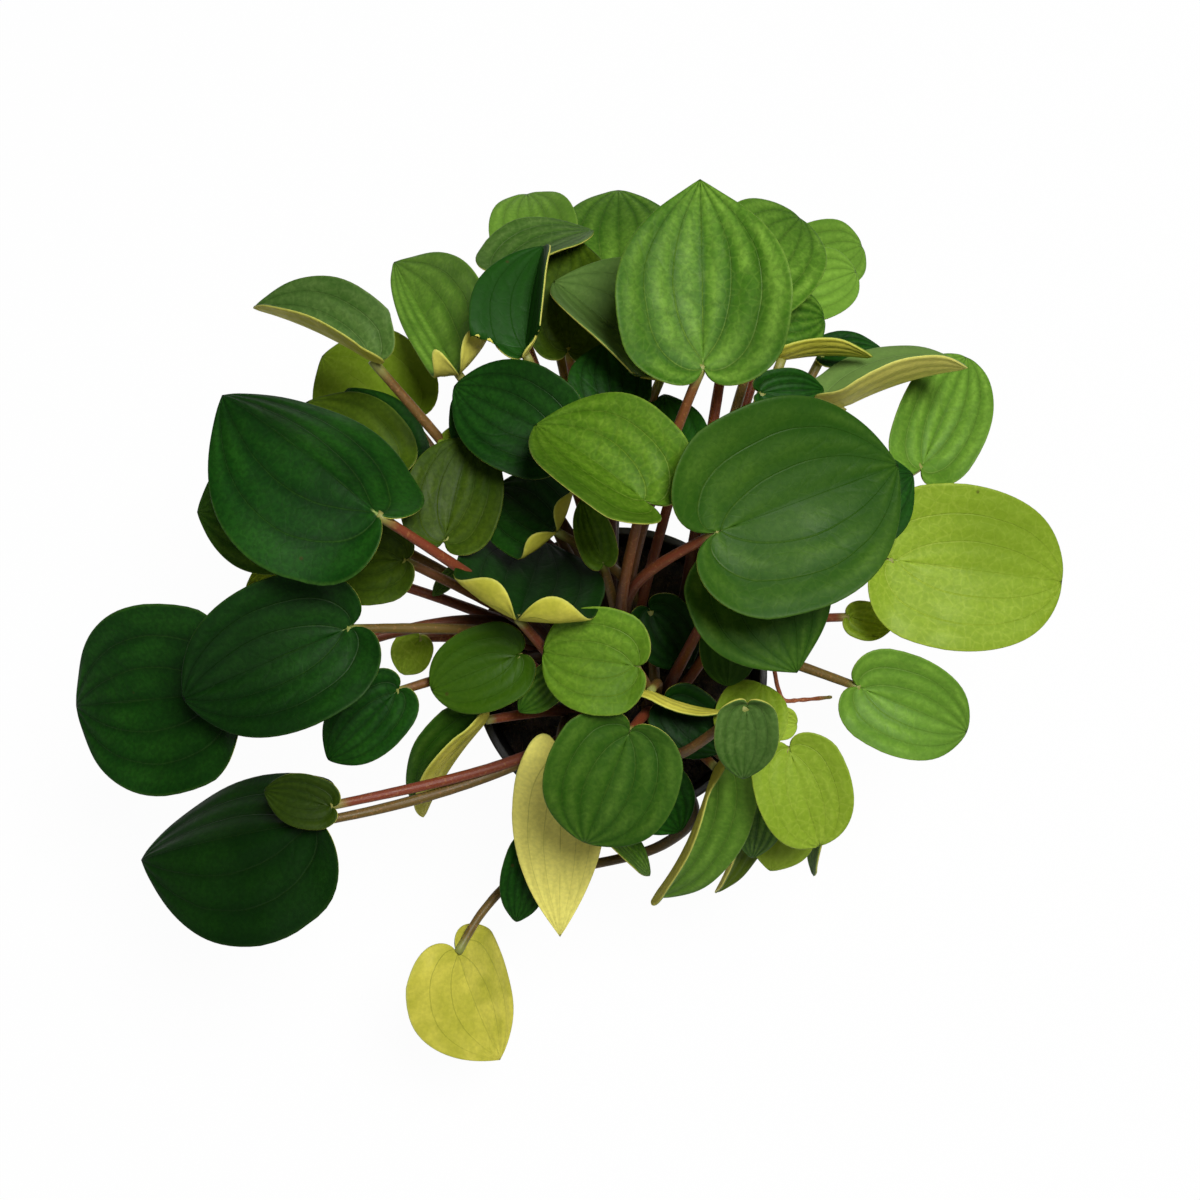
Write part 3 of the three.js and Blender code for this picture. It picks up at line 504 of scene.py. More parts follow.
def tube(path, radii, sides, reference, tint, bumps=0.0):
    """A closed round tube: every ring is the path's point plus radius (cos a side + sin a other), where
    side is the reference made square to the path; bumps swell the radius by a sine of the angle and the
    length."""
    tangent = unit(np.gradient(path, axis=0))
    side = unit(reference - tangent * (tangent @ reference)[:, None])
    other = np.cross(tangent, side)
    angle = 2 * np.pi * np.arange(sides) / sides
    run = np.linspace(0, 1, len(path))[:, None]
    swell = np.sin(3 * angle + 40 * run) * np.sin(57 * run + angle)
    girth = np.asarray(radii)[:, None] * (1 + bumps * swell)
    rings = (path[:, None] + girth[..., None] * (np.cos(angle)[None, :, None] * side[:, None]
                                                 + np.sin(angle)[None, :, None] * other[:, None]))
    return capped(rings, path[[0, -1]], tint)


def crown_top(name):
    """The middle of a crown's top: its place in the soil plus its lean, at CROWN_TOP."""
    at, lean = CROWNS[name]
    return np.array([at[0] + lean[0], at[1] + lean[1], CROWN_TOP], float)


def petiole(row, tint):
    """A cubic Bezier from the crown up and out to the blade's underside, or for a petiole that hangs over
    the rim a curve through its own points; round, swelling at the foot and where it meets the blade as
    exp(-x^2) of the distance from there."""
    held = blade_frame(row)
    base, normal = held["base"], held["normal"]
    centre = crown_top(row["crown"])
    outward = unit((base - centre) * (1, 1, 0))
    depth = FOOT_DEPTH[0] + (FOOT_DEPTH[1] - FOOT_DEPTH[0]) * ((row["phase"] * 7) % 1)
    foot = centre + outward * FOOT_OUT - (0, 0, depth)
    span = np.linalg.norm(base - foot)
    away = (base - foot) * (1, 1, 0)
    sideways = unit(np.array([-away[1], away[0], 0])) * row["sway"]
    shoulder = foot + away * PETIOLE_SHOULDER + (0, 0, PETIOLE_LIFT * span * row["lift"]) + sideways
    arrival = unit(base - shoulder)
    arrival = unit(arrival + normal * max(0, PETIOLE_MIN_FACING - arrival @ normal))
    end = base - normal * 0.2
    if row["via"]:
        t = np.linspace(0, 1, HANGING_RINGS)
        path = through([foot] + [in_room(place) for place in row["via"]] + [end], t)
    else:
        t = np.linspace(0, 1, int(np.clip(span / RING_STEP, *PETIOLE_RINGS)))
        path = bezier((foot, shoulder, end - arrival * PETIOLE_REACH * span, end), t)
    radii = FOOT_RADIUS + (TIP_RADIUS - FOOT_RADIUS) * t
    radii = radii * (1 + FOOT_SWELL * np.exp(-((t - 0.02) / 0.05) ** 2)
                     + NECK_SWELL * np.exp(-((t - 1) / 0.02) ** 2))
    radii[-1] *= 0.75
    reference = unit(np.cross(end - foot, (0, 0, 1.0)) + (0.01, 0.02, 0.03))
    return tube(path, radii, PETIOLE_SIDES, reference, tint, bumps=0.03)


def crown(name):
    """A short stem that rises from the soil and leans at its top, with rings at the leaf scars: its radius
    tapers and dips as |sin|^6 of the height."""
    at, lean = CROWNS[name]
    h = np.linspace(0, 1, 34)
    low = np.array([*at, SOIL_TOP - CROWN_DEPTH])
    turn = smooth(0.65, 1, h)[:, None]
    path = low + (crown_top(name) - low - (*lean, 0)) * h[:, None] + np.array([*lean, 0]) * turn
    radii = CROWN_RADIUS + (CROWN_TOP_RADIUS - CROWN_RADIUS) * smooth(0.7, 1, h)
    radii = radii * (1 - SCAR_DEPTH * np.abs(np.sin(LEAF_SCARS * np.pi * h)) ** 6)
    return tube(path, radii, 24, np.array([1.0, 0.1, 0]), 0.9, bumps=0.02)


# Pot and soil

SLOPE = (RIM_RADIUS - RIM_STEP - BASE_RADIUS) / POT_HEIGHT


def outer_at(z):
    """The wall's outer radius at a height: it widens evenly to the rim's step."""
    return BASE_RADIUS + SLOPE * z


def inner_at(z):
    """The wall's inner radius at a height."""
    return outer_at(z) - WALL


def turned(profile, facets, roughness=None):
    """A profile of (radius, z) carried round the upright axis; its ends, on the axis, close it as poles, and
    roughness adds a height that depends on the place."""
    profile = np.asarray(profile, float)
    body = profile[1:-1]
    angle = 2 * np.pi * np.arange(facets) / facets
    rings = np.stack([body[:, :1] * np.cos(angle), body[:, :1] * np.sin(angle),
                      np.repeat(body[:, 1:], facets, 1)], -1)
    if roughness is not None:
        rings[..., 2] += roughness(rings[..., 0], rings[..., 1], rings[..., 2])
    return capped(rings, [(0, 0, profile[0, 1]), (0, 0, profile[-1, 1])], 0)


def rounded(corners, radius, steps=5):
    """A polyline whose inner corners are eased: each becomes steps points of the quadratic
    (1-u)^2 P + 2u(1-u) C + u^2 Q between points a radius away on either side."""
    corners = [np.array(c, float) for c in corners]
    result = [corners[0]]
    u = np.linspace(0, 1, steps)[:, None]
    for before, here, after in zip(corners, corners[1:], corners[2:]):
        reach = min(radius, 0.45 * np.linalg.norm(here - before), 0.45 * np.linalg.norm(after - here))
        p = here + unit(before - here) * reach
        q = here + unit(after - here) * reach
        result.extend((1 - u) ** 2 * p + 2 * u * (1 - u) * here + u * u * q)
    return np.array(result + [corners[-1]])


def pot_surface():
    """The pot's outside, its stepped rim band, its inside and its floor as one rounded profile, turned."""
    band = POT_HEIGHT - RIM_BAND
    profile = rounded([
        (0, 0), (BASE_RADIUS, 0), (outer_at(band), band), (RIM_RADIUS - BAND_TAPER, band),
        (RIM_RADIUS, POT_HEIGHT), (inner_at(POT_HEIGHT), POT_HEIGHT), (inner_at(FLOOR), FLOOR), (0, FLOOR),
    ], POT_ROUNDING)
    return turned(profile, POT_FACETS)


def crumble(x, y, z):
    """Low lumps: three crossed sines, only on the top of the soil."""
    lumps = (np.sin(0.31 * x + 0.9) * np.sin(0.27 * y + 2.1) + 0.6 * np.sin(0.71 * x - 0.52 * y)
             + 0.4 * np.sin(1.3 * x + 0.4) * np.sin(1.2 * y))
    return SOIL_LUMPS * lumps * (z > SOIL_TOP - 1)


def soil_surface():
    """The soil: a flat bottom, a wall a little inside the pot's and a dome that falls with the radius
    squared, all turned and then crumbled."""
    reach = np.linspace(inner_at(SOIL_TOP) - SOIL_GAP, 1.0, 46)
    dome = SOIL_TOP + SOIL_DOME * (1 - (reach / reach[0]) ** 2)
    top = np.stack([reach, dome], 1)
    bottom = FLOOR + SOIL_SEAT
    wall = [(inner_at(z) - SOIL_GAP, z) for z in (bottom, 30, 60, 85, 91)]
    profile = np.concatenate([[(0, bottom)], wall, top, [(0, SOIL_TOP + SOIL_DOME)]])
    return turned(profile, SOIL_FACETS, crumble)


def crumbs(count):
    """Bits of bark and peat: each is a stretched eight-sided grain, turned at random, set in the dome."""
    shape = np.array([(1, 0, 0), (0, 1, 0), (-1, 0, 0), (0, -1, 0), (0, 0, 1), (0, 0, -1)], float)
    faces = np.array([
        (0, 1, 4), (1, 2, 4), (2, 3, 4), (3, 0, 4), (1, 0, 5), (2, 1, 5), (3, 2, 5), (0, 3, 5),
    ])
    reach = (inner_at(SOIL_TOP) - 3) * np.sqrt(rng.random(count))
    angle = rng.random(count) * 2 * np.pi
    place = np.stack([reach * np.cos(angle), reach * np.sin(angle)], 1)
    height = SOIL_TOP + SOIL_DOME * (1 - (reach / inner_at(SOIL_TOP)) ** 2)
    height = height + crumble(place[:, 0], place[:, 1], height) + 0.1
    size = rng.uniform(*CRUMB_REACH, (count, 1)) * rng.uniform(0.5, 1.3, (count, 3)) * (1.3, 0.9, 0.5)
    spin = rng.random(count) * 2 * np.pi
    grain = shape[None] * size[:, None] * rng.uniform(0.8, 1.2, (count, 6, 1))
    x = grain[..., 0] * np.cos(spin)[:, None] - grain[..., 1] * np.sin(spin)[:, None]
    y = grain[..., 0] * np.sin(spin)[:, None] + grain[..., 1] * np.cos(spin)[:, None]
    z = grain[..., 2] + 0.35 * x * np.sin(3 * spin)[:, None]
    points = np.stack([x + place[:, :1], y + place[:, 1:], z + height[:, None]], -1).reshape(-1, 3)
    triangles = (faces[None] + 6 * np.arange(count)[:, None, None]).reshape(-1, 3)
    lay = np.repeat(np.stack([angle, reach, rng.random(count)], 1), 6, 0)
    return dict(points=points, lay=lay, quads=np.zeros((0, 4), int), triangles=triangles,
                kinds=np.zeros(len(triangles), int))


def flower_surface():
    """The stalk's curve as a tube that thins, its last stretch a spike ringed with low bumps as sin(95t)."""
    t = np.linspace(0, 1, 90)
    path = through([in_room(place) for place in FLOWER_LINE], t)
    radii = 1.0 - 0.2 * t
    spike = smooth(0.78, 0.8, t)
    radii = radii * (1 + spike * 0.12 * np.sin(95 * t)) * np.sqrt(np.clip((1.004 - t) / 0.012, 0.05, 1))
    return tube(path, radii, 14, unit(np.array([0.2, 0.9, 0.35])), 0.5, bumps=0.04)


# Pieces

def piece(name, surfaces, materials, stands_for):
    """One mesh from several surfaces: their points end to end, every face's corners shifted by what lies
    before it, scaled to metres, with each point's lay kept as an attribute."""
    shift = np.cumsum([0] + [len(one["points"]) for one in surfaces[:-1]])
    points = np.concatenate([one["points"] for one in surfaces]) * MM
    lay = np.concatenate([one["lay"] for one in surfaces])
    quads = np.concatenate([one["quads"] + start for one, start in zip(surfaces, shift)])
    triangles = np.concatenate([one["triangles"] + start for one, start in zip(surfaces, shift)])
    kinds = np.concatenate([one["kinds"][:len(one["quads"])] for one in surfaces]
                           + [one["kinds"][len(one["quads"]):] for one in surfaces])
    corners = np.concatenate([quads.ravel(), triangles.ravel()])
    starts = np.concatenate([np.arange(len(quads)) * 4, len(quads) * 4 + np.arange(len(triangles)) * 3])
    mesh = bpy.data.meshes.new(name)
    mesh.vertices.add(len(points))
    mesh.vertices.foreach_set("co", points.astype(np.float32).ravel())
    mesh.loops.add(len(corners))
    mesh.loops.foreach_set("vertex_index", corners.astype(np.int32))
    mesh.polygons.add(len(starts))
    mesh.polygons.foreach_set("loop_start", starts.astype(np.int32))
    mesh.polygons.foreach_set("material_index", kinds.astype(np.int32))
    mesh.polygons.foreach_set("use_smooth", np.ones(len(starts), bool))
    mesh.update(calc_edges=True)
    own = mesh.attributes.new("lay", "FLOAT_VECTOR", "POINT")
    own.data.foreach_set("vector", lay.astype(np.float32).ravel())
    for material in materials:
        mesh.materials.append(material)
    thing = bpy.data.objects.new(name, mesh)
    bpy.context.scene.collection.objects.link(thing)
    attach(thing, "root")
    if stands_for:
        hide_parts(*stands_for)
    return thing


# Materials

class Wires:
    """Adds nodes to a tree; each call sets or links the inputs that it is given."""

    def __init__(self, tree):
        self.tree = tree

    def node(self, kind, inputs=None, **settings):
        """One node of a kind: its settings set, and each input set to a value or linked to a socket."""
        made = self.tree.nodes.new(kind)
        for key, value in settings.items():
            setattr(made, key, value)
        for key, value in (inputs or {}).items():
            if isinstance(value, bpy.types.NodeSocket):
                self.tree.links.new(value, made.inputs[key])
            else:
                made.inputs[key].default_value = value
        return made

    def math(self, operation, a, b=0.0, c=0.0, clamp=False):
        """One operation on up to three values."""
        made = self.node("ShaderNodeMath", {0: a, 1: b, 2: c}, operation=operation, use_clamp=clamp)
        return made.outputs[0]

    def times(self, a, b):
        """a b."""
        return self.math("MULTIPLY", a, b)

    def from_whole(self, value):
        """How far a value is from the nearest whole number."""
        return self.math("ABSOLUTE", self.math("SUBTRACT", value, self.math("ROUND", value)))

    def parts(self, vector):
        """The three parts of a vector."""
        return self.node("ShaderNodeSeparateXYZ", {0: vector}).outputs

    def fade(self, value, start, end, low=0.0, high=1.0):
        """low where value is at start, high at end, eased between and flat beyond."""
        return self.node("ShaderNodeMapRange", {0: value, 1: start, 2: end, 3: low, 4: high},
                         interpolation_type="SMOOTHSTEP").outputs[0]

    def mix(self, factor, shade, hexadecimal):
        """The shade where factor is 0 and a screen colour where it is 1."""
        shade = shade if isinstance(shade, bpy.types.NodeSocket) else colour(shade)
        return self.node("ShaderNodeMix", {0: factor, 6: shade, 7: colour(hexadecimal)},
                         data_type="RGBA").outputs[2]

    def noise(self, place, scale, detail=3.0, distortion=0.0):
        """Cloudy noise from 0 to 1, its clouds about one over scale metres wide."""
        return self.node("ShaderNodeTexNoise", {"Vector": place, "Scale": scale, "Detail": detail,
                                                "Distortion": distortion}).outputs[0]


def effect(name, vectors, values):
    """A node group that takes named vectors and gives named values: its tree, its wires, its input sockets
    and its output node."""
    tree = bpy.data.node_groups.new(name, "ShaderNodeTree")
    for label in vectors:
        tree.interface.new_socket(label, in_out="INPUT", socket_type="NodeSocketVector")
    for label in values:
        tree.interface.new_socket(label, in_out="OUTPUT", socket_type="NodeSocketFloat")
    wires = Wires(tree)
    return tree, wires, wires.node("NodeGroupInput").outputs, wires.node("NodeGroupOutput")


def colour(hexadecimal):
    """A screen colour such as 0x2f6b25 as three linear parts, ((c + 0.055) / 1.055) ^ 2.4, and a 1."""
    parts = np.array([hexadecimal >> 16, hexadecimal >> 8 & 255, hexadecimal & 255]) / 255
    linear = np.where(parts > 0.04045, ((parts + 0.055) / 1.055) ** 2.4, parts / 12.92)
    return (*linear.tolist(), 1.0)


MARKS = (
    "Vein", "Groove shade", "Side veins", "Panel", "Margin", "Spot", "Mottle", "Grain", "Along", "Net", "Specks",
    "Height",
)


def blade_marks():
    """What a blade shows on both faces, from its lay (s across, t along) and its place: arched main veins at
    every step of |s|, a wider band along each where shade is painted in its groove, slanting side veins, a
    fine net, the panels between, the margin, the spot over the petiole, soft mottling, grain, small specks
    and a height made of these."""
    tree, w, given, out = effect("blade_marks", ("Lay", "Place"), MARKS)
    place = given["Place"]
    lay = w.parts(given["Lay"])
    across = w.math("ABSOLUTE", lay[0])
    along = lay[1]
    wander = w.math("SUBTRACT", w.noise(place, 45.0, 2.0), 0.5)
    bent = w.math("ADD", across, w.times(wander, 0.05))
    off = w.from_whole(w.math("DIVIDE", bent, VEIN_STEP))
    inside = w.fade(across, 0.78, 0.86, 1.0, 0.0)
    near_base = w.math("POWER", w.math("SUBTRACT", 1.0, along, clamp=True), 3.0)
    width = w.math("MULTIPLY_ADD", near_base, 0.05, 0.024)
    vein = w.times(w.math("SUBTRACT", 1.0, w.math("DIVIDE", off, width), clamp=True), inside)
    groove_shade_mask = w.times(w.fade(off, 0.0, 0.24, 1.0, 0.0), inside)
    slant = w.math("MULTIPLY_ADD", along, 6.5, w.times(across, -3.4))
    slant = w.math("ADD", slant, w.times(wander, 2.6))
    slip = w.from_whole(w.math("ADD", slant, w.times(lay[0], 0.35)))
    reach = w.times(w.fade(across, 0.8, 0.95, 1.0, 0.0), w.fade(along, 0.06, 0.22))
    broken = w.fade(w.noise(place, 110.0, 2.0), 0.4, 0.62)
    side_veins = w.times(w.fade(slip, 0.0, 0.2, 1.0, 0.0), w.times(reach, broken))
    cells = w.node("ShaderNodeTexVoronoi", {"Vector": place, "Scale": 260.0}, feature="DISTANCE_TO_EDGE")
    net = w.fade(cells.outputs[0], 0.0, 0.12, 1.0, 0.0)
    dots = w.node("ShaderNodeTexVoronoi", {"Vector": place, "Scale": 70.0})
    speckled = w.fade(w.noise(place, 24.0, 1.0), 0.56, 0.6)
    specks = w.times(w.fade(dots.outputs["Distance"], 0.07, 0.03), speckled)
    panel = w.times(w.fade(off, 0.1, 0.5), w.fade(slip, 0.02, 0.4, 0.85, 1.0))
    margin = w.fade(across, 0.965, 0.995)
    spot = w.fade(along, 0.055, 0.02)
    mottle = w.noise(place, 70.0, 4.0, 0.4)
    grain = w.noise(place, 650.0, 4.0)
    height = w.times(panel, 0.34)
    for step, mark, depth in (("SUBTRACT", vein, 0.35), ("SUBTRACT", side_veins, 0.12),
                              ("SUBTRACT", net, 0.04), ("ADD", grain, 0.05), ("ADD", mottle, 0.3)):
        height = w.math(step, height, w.times(mark, depth))
    shown = (vein, groove_shade_mask, side_veins, panel, margin, spot, mottle, grain, along, net, specks, height)
    for label, value in zip(MARKS, shown):
        tree.links.new(value, out.inputs[label])
    return tree


BLADE_MARKS = blade_marks()


def finish(name):
    """A material with its wires, its object coordinates, its lay attribute and its shader."""
    material = bpy.data.materials.new(name)
    material.use_nodes = True
    tree = material.node_tree
    wires = Wires(tree)
    place = wires.node("ShaderNodeTexCoord").outputs["Object"]
    lay = wires.node("ShaderNodeAttribute", attribute_name="lay").outputs["Vector"]
    return material, wires, place, lay, tree.nodes["Principled BSDF"]


def set_bump(w, shader, height, strength, distance):
    """A height turned into the shader's normal; distance is how many metres a height of 1 stands."""
    bump = w.node("ShaderNodeBump", {"Height": height, "Strength": strength, "Distance": distance})
    w.tree.links.new(bump.outputs[0], shader.inputs["Normal"])


def marked(w, place, lay):
    """The blade's marks, placed in a material."""
    made = w.node("ShaderNodeGroup", node_tree=BLADE_MARKS)
    w.tree.links.new(lay, made.inputs["Lay"])
    w.tree.links.new(place, made.inputs["Place"])
    return made.outputs


# Shades that several faces or stems share
SPOT = 0xa9bd6a
FLECK = 0x3b3312
FRESH_AND_LIT_BACK = 0xf4ea7c
BACK_MARGIN = 0xc3c66a
BACK_GRAIN = 0x5c6420
PETIOLE_NECK = 0x8d9a4c
# Painted shade at the feet of petioles, crowns and the flower stalk
PETIOLE_FOOT_SHADE = 0x140a06


def blade_face(name, deep, body, bright, vein, margin, sheen=0.0, groove_shade=0.3, lines=0.5, net=0.12):
    """The upper face: a body colour that brightens with painted sheen in soft patches between the arched
    veins and darkens with painted shade along their grooves and the side veins, each vein a thin paler line,
    with a faint net, fine deep clouds, broad dark clouds of painted shade, a pale margin, a pale spot over
    the petiole and a few brown flecks. The blade's age and painted light move it from the bright colour to
    the deep one."""
    material, w, place, lay, shader = finish(name)
    marks = marked(w, place, lay)
    age_and_light = w.parts(lay)[2]
    cloud = w.fade(w.noise(place, 30.0, 3.0, 0.3), 0.38, 0.62)
    # Painted sheen: soft patches on the panels between the veins, brightened towards the bright colour.
    sheen_patches = w.times(marks["Panel"], w.fade(marks["Mottle"], 0.3, 0.68))
    shade = w.mix(w.times(cloud, 0.35), body, bright)
    shade = w.mix(w.times(sheen_patches, 0.45 + 0.4 * sheen), shade, bright)
    # Painted shade: the grooves along the arched veins and the side veins, darkened towards the deep colour.
    shade = w.mix(w.math("MAXIMUM", w.times(marks["Groove shade"], groove_shade), w.times(marks["Side veins"], 0.2)),
                  shade, deep)
    shade = w.mix(w.times(marks["Vein"], w.fade(marks["Along"], 0.0, 0.85, lines, lines / 4)), shade, vein)
    shade = w.mix(w.times(marks["Margin"], 0.4), shade, margin)
    shade = w.mix(w.times(marks["Spot"], 0.85), shade, SPOT)
    shade = w.mix(w.times(marks["Net"], net), shade, vein)
    shade = w.mix(w.fade(marks["Grain"], 0.35, 0.65, 0.0, 0.34), shade, deep)
    # Painted shade: broad clouds that darken parts of each blade towards the deep colour.
    shade = w.mix(w.fade(w.noise(place, 13.0, 1.0), 0.42, 0.66, 0.0, 0.5), shade, deep)
    # Age and painted light: above a half the blade darkens towards the deep colour, below a half it
    # brightens towards the bright one.
    shade = w.mix(w.fade(age_and_light, 0.5, 1.0, 0.0, 0.8), shade, deep)
    shade = w.mix(w.fade(age_and_light, 0.5, 0.0, 0.0, 0.7), shade, bright)
    shade = w.mix(w.times(marks["Specks"], 0.6), shade, FLECK)
    w.tree.links.new(shade, shader.inputs["Base Color"])
    w.tree.links.new(w.fade(marks["Mottle"], 0.3, 0.7, 0.56, 0.44), shader.inputs["Roughness"])
    shader.inputs["Specular IOR Level"].default_value = 0.1
    set_bump(w, shader, marks["Height"], 0.55, 0.0009)
    return material


def blade_back(name, body, bright, vein):
    """The underside: pale, and paler on a fresh blade and where painted light is set on it, with darker
    green veins that stand proud, a pale margin and a fine grain."""
    material, w, place, lay, shader = finish(name)
    marks = marked(w, place, lay)
    shade = w.mix(w.fade(marks["Mottle"], 0.3, 0.7), body, bright)
    lines = w.math("MAXIMUM", marks["Vein"], w.times(marks["Side veins"], 0.3))
    # Age and painted light: a low value pales the underside towards the fresh back colour.
    shade = w.mix(w.fade(w.parts(lay)[2], 0.5, 0.0, 0.0, 0.8), shade, FRESH_AND_LIT_BACK)
    shade = w.mix(w.times(lines, 0.45), shade, vein)
    shade = w.mix(w.times(marks["Margin"], 0.5), shade, BACK_MARGIN)
    shade = w.mix(w.fade(marks["Grain"], 0.3, 0.7, 0.0, 0.16), shade, BACK_GRAIN)
    w.tree.links.new(shade, shader.inputs["Base Color"])
    w.tree.links.new(w.fade(marks["Mottle"], 0.3, 0.7, 0.62, 0.5), shader.inputs["Roughness"])
    shader.inputs["Specular IOR Level"].default_value = 0.12
    set_bump(w, shader, w.math("SUBTRACT", 1.0, marks["Height"]), 0.5, 0.0009)
    return material


def stem_skin(name, ruddy, olive, pale):
    """A petiole or stalk: from ruddy to olive by its own tint, with lengthwise streaks and pale speckles,
    greener where it meets the blade, and darkened with painted shade towards the foot, low in the plant."""
    material, w, place, lay, shader = finish(name)
    own = w.parts(lay)
    stretched = {0: w.times(own[0], 14.0), 1: w.times(own[1], 5.0), 2: own[2]}
    streak = w.noise(w.node("ShaderNodeCombineXYZ", stretched).outputs[0], 2.2, 3.0)
    blend = w.math("ADD", own[2], w.times(w.math("SUBTRACT", streak, 0.5), 0.9), clamp=True)
    speckle = w.noise(place, 900.0, 2.0)
    skin = w.mix(blend, ruddy, olive)
    skin = w.mix(w.fade(speckle, 0.55, 0.72, 0.0, 0.45), skin, pale)
    skin = w.mix(w.fade(own[1], 0.93, 0.995, 0.0, 0.7), skin, PETIOLE_NECK)
    # Painted shade: the lower part darkened towards near black.
    skin = w.mix(w.fade(own[1], 0.8, 0.1, 0.0, 0.86), skin, PETIOLE_FOOT_SHADE)
    w.tree.links.new(skin, shader.inputs["Base Color"])
    w.tree.links.new(w.fade(streak, 0.3, 0.7, 0.6, 0.4), shader.inputs["Roughness"])
    shader.inputs["Specular IOR Level"].default_value = 0.4
    set_bump(w, shader, w.math("ADD", w.times(streak, 0.6), w.times(speckle, 0.4)), 0.4, 0.0006)
    return material


def earth(name, dark, brown, pale):
    """Potting mix: dark and brown clods by noise, lighter fibres by noise drawn out one way, each grain's
    own tint, and a rough height."""
    material, w, place, lay, shader = finish(name)
    clods = w.noise(place, 220.0, 5.0, 0.6)
    drawn_out = w.node("ShaderNodeMapping", {0: place, 3: (1500.0, 240.0, 400.0)}).outputs[0]
    fibres = w.noise(drawn_out, 1.0, 3.0, 1.5)
    shade = w.mix(w.fade(clods, 0.4, 0.62), dark, brown)
    shade = w.mix(w.fade(fibres, 0.62, 0.72, 0.0, 0.5), shade, pale)
    shade = w.mix(w.fade(w.parts(lay)[2], 0.5, 1.0, 0.0, 0.5), shade, brown)
    w.tree.links.new(shade, shader.inputs["Base Color"])
    w.tree.links.new(w.fade(clods, 0.3, 0.7, 0.95, 0.8), shader.inputs["Roughness"])
    set_bump(w, shader, w.math("ADD", clods, w.times(fibres, 0.4)), 0.8, 0.003)
    return material


def moulded(name, body, scuff):
    """Black moulded plastic: a fine grain, faint level rings as the sine of the height, dust by noise."""
    material, w, place, _, shader = finish(name)
    grain = w.noise(place, 1800.0, 2.0)
    dust = w.noise(place, 38.0, 5.0, 0.5)
    rings = w.math("SINE", w.times(w.parts(place)[2], 2600.0))
    w.tree.links.new(w.mix(w.fade(dust, 0.52, 0.72, 0.0, 0.5), body, scuff), shader.inputs["Base Color"])
    w.tree.links.new(w.fade(dust, 0.3, 0.75, 0.42, 0.62), shader.inputs["Roughness"])
    set_bump(w, shader, w.math("ADD", grain, w.times(rings, 0.25)), 0.25, 0.0004)
    return material


# Upper faces, each with its deep, body, bright, vein and margin colours
UPPER = {
    "dark": blade_face(
        "leaf_dark", 0x041a02, 0x0f3a08, 0x275a16, 0x426a22, 0x426820, groove_shade=0.4, lines=0.35, net=0.04,
    ),
    "mid": blade_face("leaf_mid", 0x1f420a, 0x3b6711, 0x7aa43a, 0x88a444, 0x7a9638, sheen=1.0, groove_shade=0.45),
    "light": blade_face("leaf_light", 0x284804, 0x4b7210, 0x6f9428, 0x94ac42, 0x8ea63c, sheen=0.5),
    "lime": blade_face("leaf_lime", 0x5c7810, 0x7a9422, 0x94ae38, 0xb2c252, 0xa7b644, groove_shade=0.12, net=0.2),
    "olive": blade_face("leaf_olive", 0x182a02, 0x38520a, 0x5e751a, 0x758c2a, 0x73882a, net=0.06),
    "grey": blade_face("leaf_grey", 0x264512, 0x436624, 0x728f4a, 0x879e58, 0x839850, groove_shade=0.35),
    "under": blade_face("leaf_under_upper", 0x1f420a, 0x3b6711, 0x7aa43a, 0x88a444, 0x7a9638),
}
UNDERSIDE = blade_back("leaf_underside", 0xb0ae38, 0xcec64e, 0x7c8424)
PETIOLE_SKIN = stem_skin("petiole_skin", 0x77341d, 0x62501e, 0xa2703f)
STALK_SKIN = stem_skin("flower_stalk_skin", 0xb5694a, 0xa8603c, 0xd39a70)
EARTH = earth("potting_mix", 0x0c0806, 0x2a1b12, 0x6b5238)
PLASTIC = moulded("black_plastic", 0x0a0a0b, 0x24221f)


# The plant and its pot

def drained(pot):
    """The pot given its drain holes: upright round cutters are taken away from its floor, and the result is
    kept as the pot's mesh."""
    angle = 2 * np.pi * np.arange(DRAIN_HOLES) / DRAIN_HOLES
    cutters = []
    for x, y in zip(DRAIN_CIRCLE * np.cos(angle), DRAIN_CIRCLE * np.sin(angle)):
        path = np.array([(x, y, -3), (x, y, 0), (x, y, FLOOR + 3)])
        cutters.append(tube(path, np.full(3, DRAIN_RADIUS), 32, np.array([1.0, 0, 0]), 0))
    cutter = piece("drain_cutter", cutters, [PLASTIC], [])
    cut = pot.modifiers.new("drain_holes", "BOOLEAN")
    cut.object = cutter
    cut.operation = "DIFFERENCE"
    cut.solver = "EXACT"
    shape = bpy.data.meshes.new_from_object(pot.evaluated_get(bpy.context.evaluated_depsgraph_get()))
    pot.modifiers.clear()
    pot.data = shape
    bpy.data.objects.remove(cutter)


drained(piece("pot_shell", [pot_surface()], [PLASTIC], ["pot"]))
piece("potting_soil", [soil_surface()], [EARTH], ["soil"])
piece("soil_crumbs", [crumbs(CRUMBS)], [EARTH], [])
piece("flower_spike", [flower_surface()], [STALK_SKIN], ["flower_stalk"])

for name in CROWNS:
    grown = [row for row in LEAVES if row["crown"] == name]
    tints = [0.5 + 0.5 * math.sin(3.7 * row["phase"] + 1) for row in grown]
    piece(f"petioles_{name}", [crown(name)] + [petiole(row, tint) for row, tint in zip(grown, tints)],
          [PETIOLE_SKIN], [f"stems_{name}"])

for row in LEAVES:
    number = row["number"]
    age_and_light = AGE_AND_LIGHT.get(number, 0.5 + 0.2 * math.sin(5.3 * row["phase"]))
    piece(f"blade_{number:02d}", [blade(row, age_and_light)], [UPPER[row["tone"]], UNDERSIDE],
          [f"stems_{row['crown']}" if row["fused"] else f"leaf_{number:02d}"])


# Floor, light and camera, in metres and watts

FLOOR_HALF = 4
FLOOR_DROP = 0.0002
FLOOR_GLOW = 0.97
WORLD_GLOW = 0.07
AIM = np.array([0, 0, 0.1])


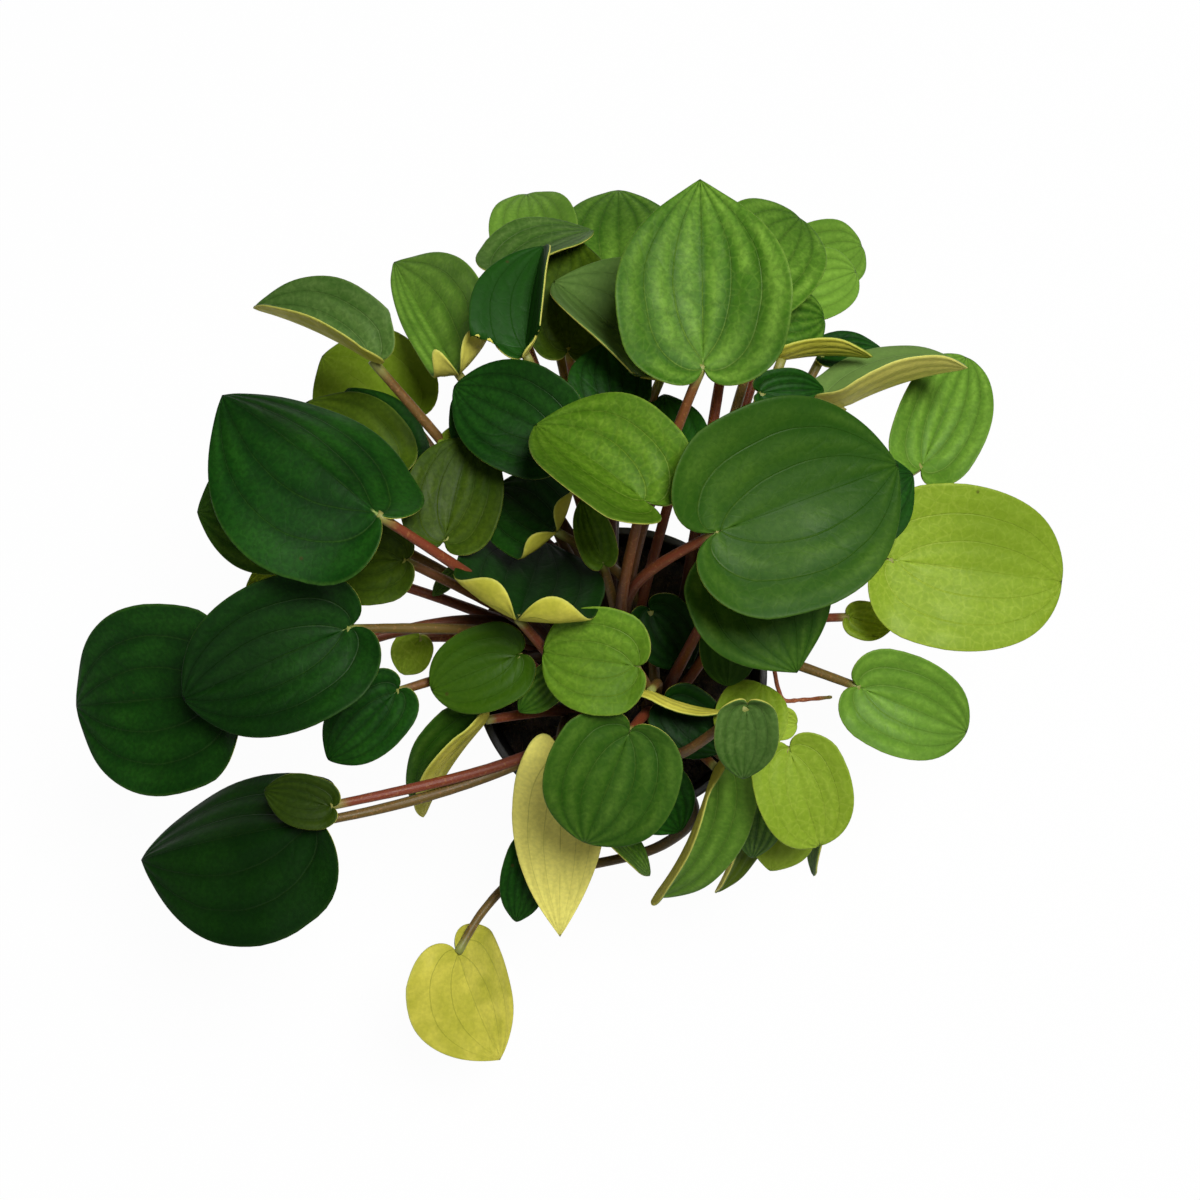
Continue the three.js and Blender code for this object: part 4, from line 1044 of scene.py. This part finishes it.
def floor():
    """A wide pale sheet that the lens sees as almost evenly bright."""
    mesh = bpy.data.meshes.new("floor")
    corners = [(x * FLOOR_HALF, y * FLOOR_HALF, 0) for x, y in ((-1, -1), (1, -1), (1, 1), (-1, 1))]
    mesh.from_pydata(corners, [], [(0, 1, 2, 3)])
    material = bpy.data.materials.new("pale_paper")
    material.use_nodes = True
    w = Wires(material.node_tree)
    shader = material.node_tree.nodes["Principled BSDF"]
    shader.inputs["Base Color"].default_value = (0.86, 0.86, 0.86, 1)
    shader.inputs["Roughness"].default_value = 0.9
    glow = w.node("ShaderNodeEmission", {"Color": (1, 1, 1, 1), "Strength": 1.0}).outputs[0]
    seen = w.times(w.node("ShaderNodeLightPath").outputs["Is Camera Ray"], FLOOR_GLOW)
    blend = w.node("ShaderNodeMixShader", {0: seen, 1: shader.outputs[0], 2: glow}).outputs[0]
    w.tree.links.new(blend, material.node_tree.nodes["Material Output"].inputs["Surface"])
    mesh.materials.append(material)
    thing = bpy.data.objects.new("floor", mesh)
    bpy.context.scene.collection.objects.link(thing)
    thing.location.z = -FLOOR_DROP


def soft_light(name, place, size, watts):
    """A round lamp that faces the aim: tilted by its ray's angle from straight down, then turned."""
    lamp = bpy.data.lights.new(name, "AREA")
    lamp.shape = "DISK"
    lamp.size = size
    lamp.energy = watts
    thing = bpy.data.objects.new(name, lamp)
    bpy.context.scene.collection.objects.link(thing)
    thing.location = place
    ray = unit(AIM - place)
    thing.rotation_euler = (math.acos(-ray[2]), 0, math.atan2(ray[0], -ray[1]) + math.pi)


floor()
soft_light("key", (0.35, 0.2, 1.6), size=0.6, watts=25)
soft_light("fill", (-0.6, -0.9, 1.1), size=1.2, watts=3)
world = bpy.data.worlds.new("studio")
world.use_nodes = True
world.node_tree.nodes["Background"].inputs["Color"].default_value = (1, 1, 1, 1)
world.node_tree.nodes["Background"].inputs["Strength"].default_value = WORLD_GLOW
bpy.context.scene.world = world

lens = bpy.data.cameras.new("photo_view")
lens.sensor_width = 36
lens.lens = FOCAL / FRAME_SIZE * lens.sensor_width
lens.clip_start = 0.01
lens.clip_end = 20
camera = bpy.data.objects.new("photo_view", lens)
camera.location = EYE * MM
camera.rotation_euler = (VIEW_TILT, 0, 0)
bpy.context.scene.collection.objects.link(camera)
bpy.context.scene.camera = camera
bpy.context.scene.view_settings.view_transform = "Standard"
